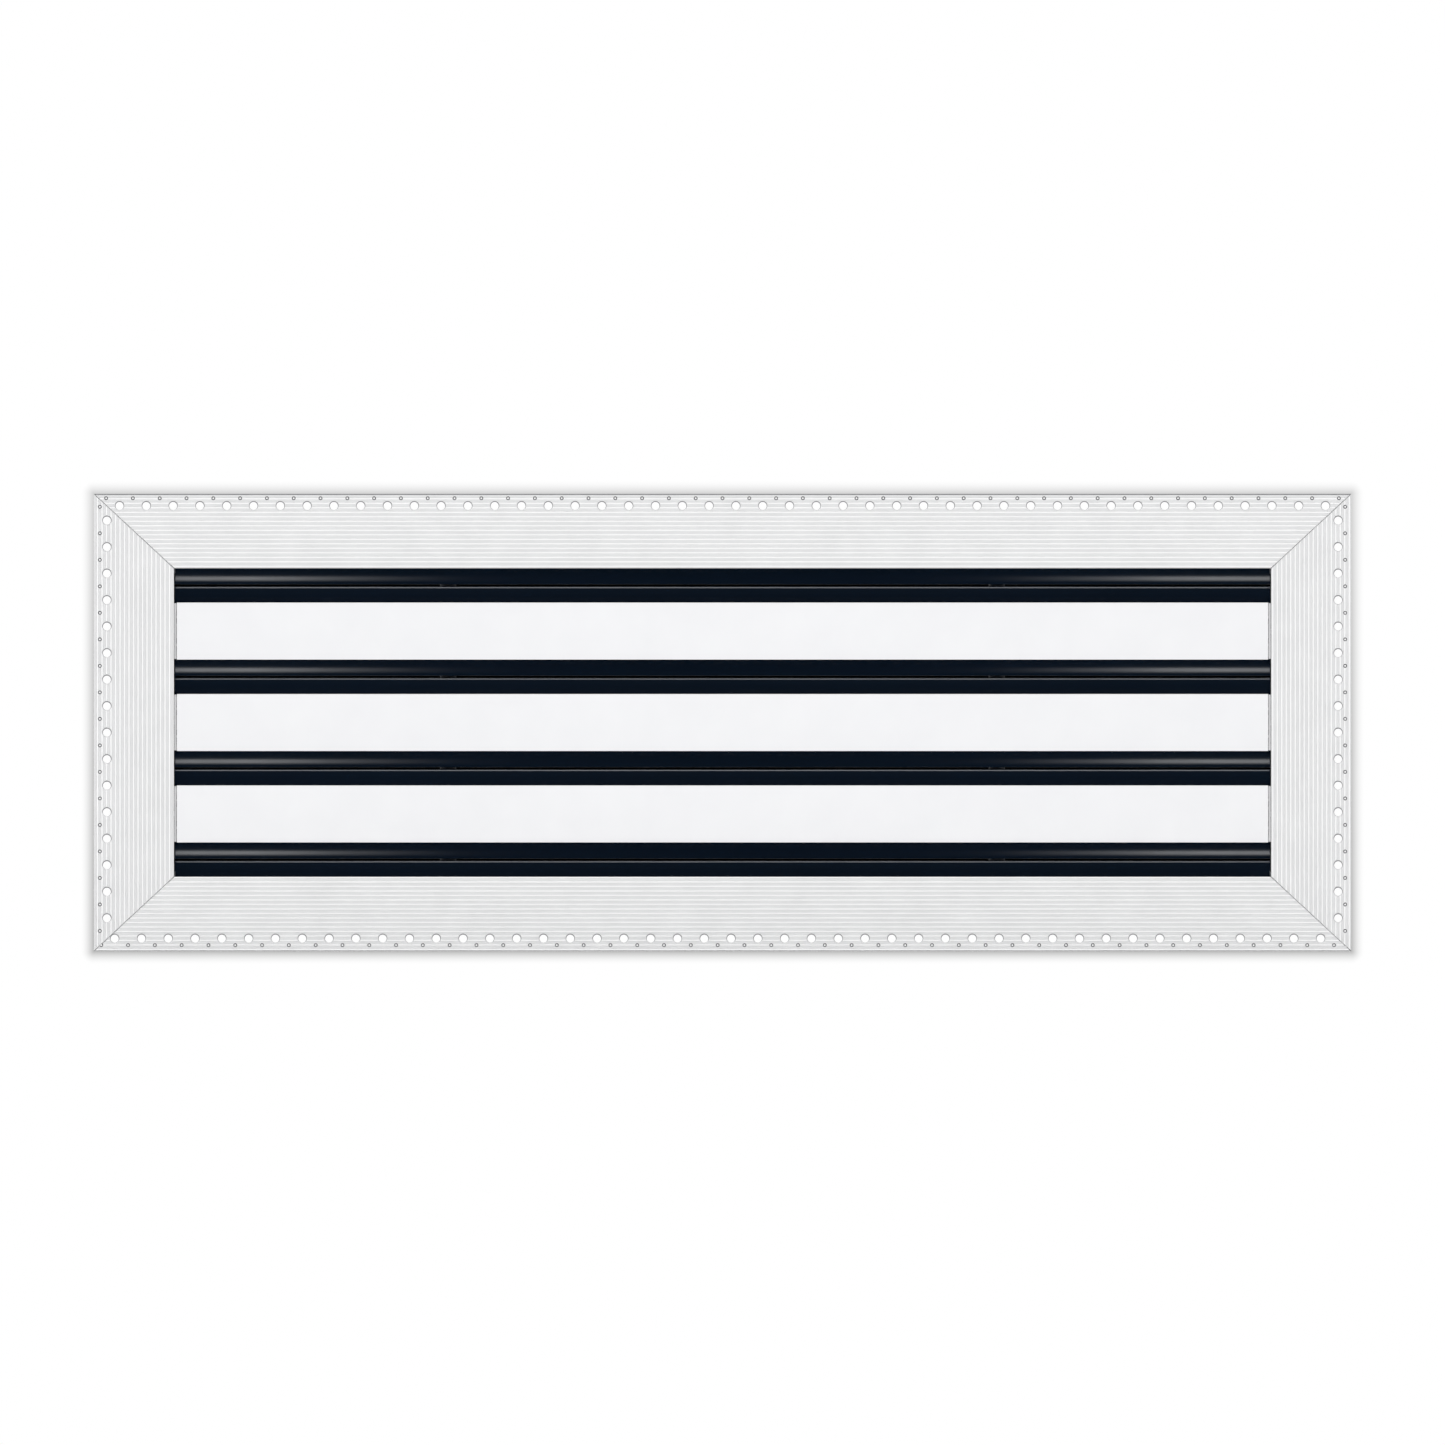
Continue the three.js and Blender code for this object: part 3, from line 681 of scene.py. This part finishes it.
def rail(node):
    row = FLANGE_ROWS[node]
    front = ribbed_front(row, HALF_FACE.y - HALF_OPENING.y, HALF_OPENING.y)
    edge = [(y, OUTER_SLOT_Z + offset) for y, offset in socket_edge()]
    behind = [
        (NECK_DEPTH, WALL_INNER_Z, 0.3),
        (NECK_DEPTH, WALL_OUTER_Z, 0.3),
        (0, WALL_OUTER_Z, 0.8),
        (0, HALF_FACE.y),
    ]
    outline = rounded([*edge, *behind, *reversed(front)])
    piece = prism(node, outline, -HALF_FACE.x, HALF_FACE.x)
    combined(piece, mitre_tool(HALF_OPENING, HALF_FACE))

    socket_end = HALF_OPENING.x - JOINT_GAP
    wall_end = HALF_OPENING.x + WALL_THICKNESS
    past = HALF_FACE.x + CLEAR
    low, high = HALF_OPENING.y - CLEAR, WALL_OUTER_Z + CLEAR
    step = [
        (socket_end, low),
        (past, low),
        (past, high),
        (wall_end, high),
        (wall_end, WALL_INNER_Z),
        (socket_end, WALL_INNER_Z),
    ]

    def end_tool(side):
        return prism("end", [(side * x, z) for x, z in step], 0, NECK_DEPTH + CLEAR, axis="Y")

    combined(piece, both_sides(end_tool))
    combined(piece, hole_tool(row, HALF_FACE.y))

    rivet_x = middle("rivet_top_right_rail").x
    rod_holes = bores(ROD_HOLE_RADIUS, [moved(side * ROD_X, ROD_Y, WALL_INNER_Z) for side in (-1, 1)])
    rivet_holes = bores(RIVET_HOLE_RADIUS, [moved(side * rivet_x, RIVET_Y, WALL_INNER_Z) for side in (-1, 1)])
    combined(piece, together([rod_holes, rivet_holes]))
    if node == "bottom_rail":
        piece.data.transform(HALF_TURN)
    return fitted(piece, node, "ribbed_white")


def end_frame(node):
    """An end is drawn as a top side, as far from the centre as it is along X, then turned a quarter turn."""
    row = FLANGE_ROWS[node]
    inner = HALF_OPENING.x
    outline = rounded([
        (NECK_DEPTH, inner, 0.3),
        (NECK_DEPTH, inner + WALL_THICKNESS, 0.3),
        (0, inner + WALL_THICKNESS, 0.8),
        (0, HALF_FACE.x),
        *reversed(ribbed_front(row, HALF_FACE.x - inner, inner)),
    ])
    piece = prism(node, outline, -HALF_FACE.y, HALF_FACE.y)
    combined(piece, mitre_tool(HALF_OPENING.yx, HALF_FACE.yx))
    wall_end, past = WALL_INNER_Z - JOINT_GAP, HALF_FACE.y + CLEAR

    def end_tool(side):
        xs = sorted((side * wall_end, side * past))
        return block("end", xs, (0, NECK_DEPTH + CLEAR), (inner - CLEAR, HALF_FACE.x + CLEAR))

    combined(piece, both_sides(end_tool))
    combined(piece, hole_tool(row, HALF_FACE.x))

    rivet_z = middle("rivet_top_right_end").z
    screw_holes = bores(SCREW_HOLE_RADIUS, [moved(middle(f"bar_{i}").z, SCREW_Y, inner) for i in (1, 2, 3)])
    rivet_holes = bores(RIVET_HOLE_RADIUS, [moved(side * rivet_z, RIVET_Y, inner) for side in (-1, 1)])
    combined(piece, together([screw_holes, rivet_holes]))
    quarter = Matrix.Rotation(math.pi / 2, 4, "Y")
    piece.data.transform(quarter if node == "right_end_frame" else HALF_TURN @ quarter)
    return fitted(piece, node, "ribbed_white")


# Bars, clips and screws


def bar_pattern():
    depth = span("bar_1", 1)[1]
    half_length = span("bar_1", 0)[1]
    upper = [
        (-BAR_FACE_THICKNESS, HALF_BAR, 0.35),
        *[(y, SLOT_PITCH / 2 - offset) for y, offset in socket_edge()],
        (depth, STEM_OUTER, 0.3),
        (depth, STEM_INNER, 0.3),
        (BRIDGE_DEPTH + BRIDGE_THICKNESS, STEM_INNER, 0.5),
    ]
    lower = [(y, -z, *radius) for y, z, *radius in reversed(upper)]
    piece = prism("bar", rounded(upper + lower), -half_length, half_length, edge=0.15)
    channel = rounded([
        (0, -STEM_INNER, 0.6),
        (BRIDGE_DEPTH, -STEM_INNER, 0.6),
        (BRIDGE_DEPTH, STEM_INNER, 0.6),
        (0, STEM_INNER, 0.6),
    ])
    combined(piece, prism("channel", channel, -half_length - CLEAR, half_length + CLEAR))
    rod_places = [moved(side * ROD_X, ROD_Y) for side in (-1, 1)]
    return combined(piece, bores(ROD_HOLE_RADIUS, rod_places, reach=HALF_BAR))


def clip_pattern():
    """The clip at a bar's right end: a plate over the end, two tongues inside the stems, and a screw boss."""
    low, high = [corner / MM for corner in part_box("bar_clip_2_right")]
    plate_from = span("bar_2", 0)[1] + CLIP_GAP
    plate_xs = (plate_from, high.x)
    plate_zs = (-CLIP_PLATE_HALF_HEIGHT, CLIP_PLATE_HALF_HEIGHT)
    inside_xs = (low.x, plate_from + CLIP_REACH_IN)
    tongue_outer = STEM_INNER - JOINT_GAP
    tongue_inner = tongue_outer - CLIP_TONGUE_THICKNESS
    boss_ys = (SCREW_Y - CLIP_BOSS_HALF_WIDTH, SCREW_Y + CLIP_BOSS_HALF_WIDTH)
    boss_zs = (-CLIP_BOSS_HALF_WIDTH, CLIP_BOSS_HALF_WIDTH)
    piece = block("lip", plate_xs, (low.y, CLIP_LIP_BACK), (low.z, high.z), edge=0.25)
    for part in (
        block("plate", plate_xs, (low.y, high.y), plate_zs, edge=0.3),
        block("tongue", inside_xs, CLIP_TONGUE_YS, (tongue_inner, tongue_outer), edge=0.4),
        block("tongue", inside_xs, CLIP_TONGUE_YS, (-tongue_outer, -tongue_inner), edge=0.4),
        block("boss", inside_xs, boss_ys, boss_zs, edge=0.5),
    ):
        combined(piece, part, "UNION")
    bore = turned("bore", [(SCREW_HOLE_RADIUS, low.x - CLEAR), (SCREW_HOLE_RADIUS, high.x + CLEAR)])
    bore.data.transform(moved(y=SCREW_Y) @ HEIGHT_TO_X)
    return combined(piece, bore)


def screw_pattern():
    """A pan-head screw with a cross recess. The underside of its head is at the origin."""
    head, height, tip = SCREW_HEAD_RADIUS, SCREW_HEAD_HEIGHT, -SCREW_LENGTH
    thread_from = tip + SCREW_POINT_LENGTH
    dome_centre = (head - SCREW_DOME_RADIUS, height - SCREW_DOME_RADIUS)
    profile = [
        (0.15, tip),
        (SCREW_RADIUS - 0.1, thread_from - 0.05),
        *thread_profile(SCREW_RADIUS, SCREW_THREAD_DEPTH, SCREW_PITCH, thread_from, -0.8, fade=0.8),
        (SCREW_RADIUS, 0),
        (head - 0.12, 0),
        (head, 0.15),
        *arc(dome_centre, SCREW_DOME_RADIUS, math.radians(5), math.radians(84), 6),
        (0.4, height),
    ]
    piece = turned("screw", profile)
    for angle in (0, math.pi / 2):
        wing = prism("wing", RECESS_WING, -RECESS_HALF_LENGTH, RECESS_HALF_LENGTH)
        wing.data.transform(Matrix.Rotation(angle, 4, "Z") @ moved(z=RECESS_FLOOR))
        combined(piece, wing)
    return piece


# Tie rods


def rod_pattern():
    half = span("tie_rod_left", 2)[1]
    start = half - THREADED_LENGTH
    thread = thread_profile(ROD_RADIUS, THREAD_DEPTH, THREAD_PITCH, start, half - 0.6, fade=0.6)
    upper = [*thread, (ROD_RADIUS - 0.15, half - 0.45), (ROD_RADIUS - 0.6, half)]
    lower_thread = thread_profile(ROD_RADIUS, THREAD_DEPTH, THREAD_PITCH, -half + 0.6, -start, fade=0.6)
    lower = [(ROD_RADIUS - 0.6, -half), (ROD_RADIUS - 0.15, -half + 0.45), *lower_thread]
    return turned("rod", lower + upper, 20)


def nut_pattern():
    """A hexagon nut with chamfered corners, standing on the origin."""
    low, high = [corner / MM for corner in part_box("rod_nut_left_top")]
    height, corner_radius = high.z - low.z, (high.y - low.y) / 2
    flat_radius = corner_radius * math.cos(math.pi / 6)
    piece = skin("nut", [circle(corner_radius, 0, 6), circle(corner_radius, height, 6)])
    piece.data.transform(Matrix.Rotation(math.pi / 6, 4, "Z"))
    chamfer = (corner_radius - flat_radius) * 0.7
    clear = corner_radius + 0.1
    ball = [(flat_radius, 0), (clear, chamfer), (clear, height - chamfer), (flat_radius, height)]
    combined(piece, turned("chamfer", ball, 48), "INTERSECT")
    bore = [
        (NUT_BORE_RADIUS + 1, -0.5),
        (NUT_BORE_RADIUS, 0.5),
        (NUT_BORE_RADIUS, height - 0.5),
        (NUT_BORE_RADIUS + 1, height + 0.5),
    ]
    return combined(piece, turned("bore", bore, 32))


def tube_pattern():
    half = (span("spacer_tube_left_1", 2)[1] - span("spacer_tube_left_1", 2)[0]) / 2
    edge = 0.3
    profile = [
        (TUBE_BORE_RADIUS, edge - half),
        (TUBE_BORE_RADIUS + edge, -half),
        (TUBE_RADIUS - edge, -half),
        (TUBE_RADIUS, edge - half),
        (TUBE_RADIUS, half - edge),
        (TUBE_RADIUS - edge, half),
        (TUBE_BORE_RADIUS + edge, half),
        (TUBE_BORE_RADIUS, half - edge),
    ]
    return turned("tube", profile, 36, ring_shaped=True)


# Corner angles and rivets


def angle_pattern():
    """A bent angle with its inner corner at the origin and its legs along -X and -Z."""
    low, high = [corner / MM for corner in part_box("corner_angle_top_right")]
    leg = high.x - low.x - ANGLE_THICKNESS
    outline = rounded([
        (-leg, 0, 0.2),
        (0, 0, 0.5),
        (0, -leg, 0.2),
        (ANGLE_THICKNESS, -leg, 0.2),
        (ANGLE_THICKNESS, ANGLE_THICKNESS, 2),
        (-leg, ANGLE_THICKNESS, 0.2),
    ], steps=6)
    piece = prism("angle", outline, low.y, high.y, axis="Y", edge=0.2)
    across_rail = moved(-RIVET_OFFSET, RIVET_Y, 0)
    across_end = moved(0, RIVET_Y, -RIVET_OFFSET) @ HEIGHT_TO_X
    return combined(piece, bores(RIVET_HOLE_RADIUS, [across_rail, across_end]))


def rivet_pattern():
    """A set blind rivet with the broken stem in its head. The underside of the head is at the origin."""
    low, high = [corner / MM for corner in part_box("rivet_top_right_rail")]
    tail = low.z - (high.z - RIVET_HEAD_HEIGHT)
    bulb_top = -(ANGLE_THICKNESS + WALL_THICKNESS + 0.4)
    bulb_centre = (RIVET_RADIUS, (tail + bulb_top) / 2)
    bulb_radius = (bulb_top - tail) / 2 - 0.1
    profile = [
        (1.1, tail),
        (RIVET_RADIUS, tail + 0.25),
        *arc(bulb_centre, bulb_radius, -math.pi / 3, math.pi / 3, 8),
        (RIVET_RADIUS, bulb_top),
        (RIVET_RADIUS, 0),
        (RIVET_HEAD_RADIUS - 0.1, 0),
        (RIVET_HEAD_RADIUS, 0.15),
        (RIVET_HEAD_RADIUS - 0.35, 0.55),
        (RIVET_HEAD_RADIUS - 1.1, 0.95),
        (1.25, RIVET_HEAD_HEIGHT),
        (0.95, RIVET_HEAD_HEIGHT - 0.05),
        (0.9, 0.55),
        (0.75, 0.5),
        (0.2, 0.62),
    ]
    return turned("rivet", profile, 28)


# Blades


def blade_outline():
    """A blade in section: a bead, a curved leaf with its crest forward, and a rounded nose."""
    centre = (BLADE_CREST_Y + BLADE_RADIUS, BLADE_CREST_OFFSET)
    back_radius, nose_distance = BLADE_RADIUS - BLADE_THICKNESS, BLADE_RADIUS - NOSE_RADIUS

    def angle_at(offset, radius):
        return math.pi - math.asin((offset - BLADE_CREST_OFFSET) / radius)

    def angle_between(start, end):
        return math.atan2(end[1] - start[1], end[0] - start[0])

    root = PIVOT_OFFSET - BEAD_RADIUS + 0.1
    nose_angle = angle_at(BLADE_GAP / 2 + NOSE_RADIUS, nose_distance)
    span_squared = nose_distance**2 + back_radius**2 - NOSE_RADIUS**2
    nose_span = math.acos(span_squared / (2 * nose_distance * back_radius))
    front = arc(centre, BLADE_RADIUS, angle_at(root, BLADE_RADIUS), nose_angle, 28)
    back = arc(centre, back_radius, nose_angle - nose_span, angle_at(root, back_radius), 24)
    nose_centre = arc(centre, nose_distance, nose_angle, nose_angle, 1)[0]
    nose_end = angle_between(nose_centre, back[0]) + 2 * math.pi
    nose = arc(nose_centre, NOSE_RADIUS, nose_angle, nose_end, 16)[1:-1]
    pivot = (PIVOT_Y, PIVOT_OFFSET)
    bead_end = angle_between(pivot, front[0]) + 2 * math.pi
    bead = arc(pivot, BEAD_RADIUS, angle_between(pivot, back[-1]), bead_end, 24)[1:-1]
    return [*front, *nose, *back, *bead]


# The object


def build_frame():
    for node in ("top_rail", "bottom_rail"):
        rail(node)
    for node in ("right_end_frame", "left_end_frame"):
        end_frame(node)


def build_bars():
    bar, clip, screw = bar_pattern(), clip_pattern(), screw_pattern()
    head_x = span("clip_screw_2_right", 0)[1] - SCREW_HEAD_HEIGHT
    for number in (1, 2, 3):
        centre = moved(z=middle(f"bar_{number}").z)
        fitted_copy(bar, f"bar_{number}", "smooth_white", centre)
        for side, turn in (("right", Matrix.Identity(4)), ("left", HALF_TURN)):
            place = centre @ turn
            fitted_copy(clip, f"bar_clip_{number}_{side}", "clip_white", place)
            screw_place = place @ moved(head_x, SCREW_Y) @ HEIGHT_TO_X
            fitted_copy(screw, f"clip_screw_{number}_{side}", "zinc", screw_place)
    for pattern in (bar, clip, screw):
        bpy.data.objects.remove(pattern)


def build_blades():
    half_length = span("upper_blade_1", 0)[1]
    blade = prism("blade", blade_outline(), -half_length, half_length, edge=0.12)
    for number in (1, 2, 3, 4):
        centre = moved(z=OUTER_SLOT_Z - (number - 1) * SLOT_PITCH)
        fitted_copy(blade, f"upper_blade_{number}", "black", centre)
        fitted_copy(blade, f"lower_blade_{number}", "black", centre @ HALF_TURN)
    bpy.data.objects.remove(blade)


def build_ties():
    rod, nut, tube = rod_pattern(), nut_pattern(), tube_pattern()
    for side, x in (("left", -ROD_X), ("right", ROD_X)):
        centre = moved(x, ROD_Y)
        fitted_copy(rod, f"tie_rod_{side}", "zinc", centre)
        for number in (1, 2, 3, 4):
            node = f"spacer_tube_{side}_{number}"
            fitted_copy(tube, node, "satin_black", centre @ moved(z=middle(node).z))
        foot = span(f"rod_nut_{side}_top", 2)[0]
        fitted_copy(nut, f"rod_nut_{side}_top", "zinc", centre @ moved(z=foot))
        fitted_copy(nut, f"rod_nut_{side}_bottom", "zinc", centre @ HALF_TURN @ moved(z=foot))
    for pattern in (rod, nut, tube):
        bpy.data.objects.remove(pattern)


def build_corners():
    angle, rivet = angle_pattern(), rivet_pattern()
    head_at = span("rivet_top_right_rail", 2)[1] - RIVET_HEAD_HEIGHT
    corner_x = span("corner_angle_top_right", 0)[1] - ANGLE_THICKNESS
    corner_z = span("corner_angle_top_right", 2)[1] - ANGLE_THICKNESS
    head_out = head_at - corner_z
    corners = (("top_right", 1, 1), ("bottom_right", 1, -1), ("bottom_left", -1, -1), ("top_left", -1, 1))
    for quarter_turns, (corner, side_x, side_z) in enumerate(corners):
        turn = Matrix.Rotation(math.pi / 2 * quarter_turns, 4, "Y")
        place = moved(side_x * corner_x, 0, side_z * corner_z) @ turn
        legs = ("rail", "end") if quarter_turns % 2 == 0 else ("end", "rail")
        fitted_copy(angle, f"corner_angle_{corner}", "zinc", place)
        first = place @ moved(-RIVET_OFFSET, RIVET_Y, head_out)
        second = place @ moved(head_out, RIVET_Y, -RIVET_OFFSET) @ HEIGHT_TO_X
        fitted_copy(rivet, f"rivet_{corner}_{legs[0]}", "aluminium", first)
        fitted_copy(rivet, f"rivet_{corner}_{legs[1]}", "aluminium", second)
    for pattern in (angle, rivet):
        bpy.data.objects.remove(pattern)


# Studio


def floor():
    """A pale floor that the face stands on."""
    edge, level = FLOOR_HALF_SIZE, -HALF_FACE.y
    corners = [(-edge, -edge, level), (edge, -edge, level), (edge, edge, level), (-edge, edge, level)]
    plane = mesh_object("floor", corners, [(0, 1, 2, 3)])
    shader = Shader("pale_floor", Roughness=0.9)
    shader.colour(shader.blend(shader.noise(20), (0.80, 0.80, 0.80), (0.84, 0.84, 0.84)))
    plane.data.materials.append(shader.material)
    plane.visible_glossy = False
    floor_only.objects.link(plane)


def maths(shader, operation, *values):
    """A Math node's result, from numbers or other nodes' outputs."""
    node = shader.add("ShaderNodeMath", operation=operation)
    for socket, value in zip(node.inputs, values):
        if isinstance(value, (int, float)):
            socket.default_value = value
        else:
            shader.link(value, socket)
    return node.outputs[0]


def black_card(name, places, faces):
    """A black stage card that only camera rays meet. Returns its shader, the socket that sets how opaque it
    is, and an output that is 1 where its front is seen and 0 where its back is."""
    card = mesh_object(name, places, faces)
    for polygon in card.data.polygons:
        if polygon.normal.y > 0:
            polygon.flip()
    for flag in ("visible_diffuse", "visible_glossy", "visible_shadow", "visible_transmission"):
        setattr(card, flag, False)
    shader = Shader(name)
    clear = shader.add("ShaderNodeBsdfTransparent")
    black = shader.add("ShaderNodeEmission")
    black.inputs["Color"].default_value = (0, 0, 0, 1)
    mix = shader.add("ShaderNodeMixShader")
    shader.link(clear.outputs[0], mix.inputs[1])
    shader.link(black.outputs[0], mix.inputs[2])
    shader.link(mix.outputs[0], shader.tree.nodes["Material Output"].inputs["Surface"])
    shader.tree.nodes.remove(shader.surface)
    card.data.materials.append(shader.material)
    from_front = maths(shader, "SUBTRACT", 1, shader.add("ShaderNodeNewGeometry").outputs["Backfacing"])
    return shader, mix.inputs[0], from_front


def duct_behind():
    """Painted shade: a black card standing for the shade inside the duct, seen through the slots from in
    front.
    """
    x = HALF_OPENING.x + DUCT_CARD_SPARE
    y = NECK_DEPTH + DUCT_CARD_BEHIND
    z = WALL_OUTER_Z - DUCT_CARD_INSET
    places = [(-x, y, -z), (x, y, -z), (x, y, z), (-x, y, z)]
    shader, opacity, from_front = black_card("duct_behind", places, [(0, 1, 2, 3)])
    shader.link(from_front, opacity)


def soft_shadow():
    """A faint shadow on the wall just round the flange, seen from in front."""
    sizes = [(HALF_FACE.x + past, HALF_FACE.y + past) for past in (-SHADOW_UNDERLAP, SHADOW_CARD_WIDTH)]
    corners = ((-1, -1), (1, -1), (1, 1), (-1, 1))
    places = [(a * x, SHADOW_Y, b * z) for x, z in sizes for a, b in corners]
    faces = [(i, (i + 1) % 4, (i + 1) % 4 + 4, i + 4) for i in range(4)]
    shader, opacity, from_front = black_card("soft_shadow", places, faces)
    separate = shader.add("ShaderNodeSeparateXYZ")
    shader.link(shader.places, separate.inputs["Vector"])
    past = []
    for axis, half in (("X", HALF_FACE.x), ("Z", HALF_FACE.y)):
        distance = maths(shader, "SUBTRACT", maths(shader, "ABSOLUTE", separate.outputs[axis]), half * MM)
        past.append(maths(shader, "MAXIMUM", distance, 0))
    squares = maths(shader, "ADD", *[maths(shader, "MULTIPLY", value, value) for value in past])
    distance = maths(shader, "SQRT", squares)
    nearness = shader.mapped(distance, (0, SHADOW_FADE_WIDTH * MM), (1, 0))
    fade = maths(shader, "POWER", nearness, SHADOW_FADE_POWER)
    upward = shader.mapped(separate.outputs["Z"], (-HALF_FACE.y * MM, HALF_FACE.y * MM), SHADOW_OPACITY)
    shadow = maths(shader, "MULTIPLY", fade, upward)
    shader.link(maths(shader, "MULTIPLY", shadow, from_front), opacity)


def softbox(name, place, target, size, watts, receivers, gloss_only=False):
    """A rectangular light at a place, facing a target, that lights one collection of pieces."""
    light = bpy.data.lights.new(name, "AREA")
    light.shape = "RECTANGLE"
    light.size, light.size_y = size
    light.energy = watts
    made = bpy.data.objects.new(name, light)
    made.location = place
    made.rotation_euler = (Vector(target) - Vector(place)).to_track_quat("-Z", "Y").to_euler()
    made.visible_camera = False
    made.visible_diffuse = not gloss_only
    made.light_linking.receiver_collection = receivers
    bpy.context.scene.collection.objects.link(made)


def towards(elevation, distance):
    """The place at a distance in front of the face, at an elevation in degrees, as (y, z) in metres."""
    angle = math.radians(elevation)
    return -distance * math.cos(angle), distance * math.sin(angle)


# Softboxes on all but the blades and the floor, as (name, place, target, size, watts)
SOFTBOXES = (
    ("front_softbox", (0, *towards(12, 3)), (0, 0, 0), (3.2, 1.8), 45),
    ("top_softbox", (0, *towards(62, 2.4)), (0, 0, 0), (2.6, 0.9), 3),
    ("side_softbox", (-1.9, -1.3, 0.5), (0, 0, 0), (1.2, 1.6), 6),
    ("end_softbox", (-2.5, 0.85, 0.1), (0, 0.85, 0.1), (1.6, 1.8), 9),
    ("side_softbox", (1.9, -1.3, 0.5), (0, 0, 0), (1.2, 1.6), 6),
    ("end_softbox", (2.5, 0.85, 0.1), (0, 0.85, 0.1), (1.6, 1.8), 9),
    ("back_softbox", (-1.2, 2.2, 1.2), (0, 0, 0), (2, 1.4), 40),
)


def blade_reflections():
    """What the glossy blades show: a long strip on the noses of the lower ones, and softboxes at each end of
    every upper one, stepped so that their reflection fades towards the middle."""
    lower = bpy.data.collections.new("lower_blades")
    glow_y, glow_z = towards(END_GLOW_ELEVATION, END_GLOW_DISTANCE)
    for number in (1, 2, 3, 4):
        lower.objects.link(bpy.data.objects[f"lower_blade_{number}_finished"])
        upper = bpy.data.collections.new(f"upper_blade_{number}_only")
        upper.objects.link(bpy.data.objects[f"upper_blade_{number}_finished"])
        centre = (OUTER_SLOT_Z - (number - 1) * SLOT_PITCH) * MM
        for side in (-1, 1):
            for inner_x, outer_x, brightness in END_GLOW_STEPS:
                x = side * (inner_x + outer_x) / 2
                size = (outer_x - inner_x, END_GLOW_HEIGHT)
                watts = brightness * math.pi * size[0] * size[1]
                place, target = (x, glow_y, centre + glow_z), (x, 0, centre)
                softbox("end_glow", place, target, size, watts, upper, gloss_only=True)
    place = (0, *towards(NOSE_STRIP_ELEVATION, NOSE_STRIP_DISTANCE))
    softbox("nose_strip", place, (0, 0, 0), NOSE_STRIP_SIZE, NOSE_STRIP_WATTS, lower, gloss_only=True)


def even_floor_light():
    """Light from straight above for the floor alone, broad enough for soft shadows."""
    light = bpy.data.lights.new("floor_light", "SUN")
    light.energy = FLOOR_LIGHT_STRENGTH
    light.angle = FLOOR_LIGHT_ANGLE
    made = bpy.data.objects.new("floor_light", light)
    made.light_linking.receiver_collection = floor_only
    bpy.context.scene.collection.objects.link(made)


def lights():
    for box in SOFTBOXES:
        softbox(*box, other_pieces)
    even_floor_light()
    blade_reflections()


def surroundings():
    """White to the camera, and a soft grey in what the object reflects and is lit by."""
    world = bpy.data.worlds.new("studio")
    world.use_nodes = True
    tree = world.node_tree
    background = tree.nodes["Background"]
    path = tree.nodes.new("ShaderNodeLightPath")
    dim = tree.nodes.new("ShaderNodeMix")
    dim.inputs[2].default_value = WORLD_LIGHT
    dim.inputs[3].default_value = WORLD_IN_GLOSS
    bright = tree.nodes.new("ShaderNodeMix")
    bright.inputs[3].default_value = 1
    tree.links.new(path.outputs["Is Glossy Ray"], dim.inputs[0])
    tree.links.new(dim.outputs[0], bright.inputs[2])
    tree.links.new(path.outputs["Is Camera Ray"], bright.inputs[0])
    tree.links.new(bright.outputs[0], background.inputs["Strength"])
    background.inputs["Color"].default_value = (1, 1, 1, 1)
    bpy.context.scene.world = world
    bpy.context.scene.view_settings.view_transform = "Standard"


def camera():
    """Square on to the face."""
    data = bpy.data.cameras.new("camera")
    data.type = "ORTHO"
    data.ortho_scale = 2 * HALF_FACE.x * MM / FACE_SHARE_OF_WIDTH
    made = bpy.data.objects.new("camera", data)
    made.location = (0, -2, 0)
    made.rotation_euler = (math.pi / 2, 0, 0)
    bpy.context.scene.collection.objects.link(made)
    bpy.context.scene.camera = made


build_frame()
build_bars()
build_blades()
build_ties()
build_corners()
floor()
duct_behind()
soft_shadow()
lights()
surroundings()
camera()
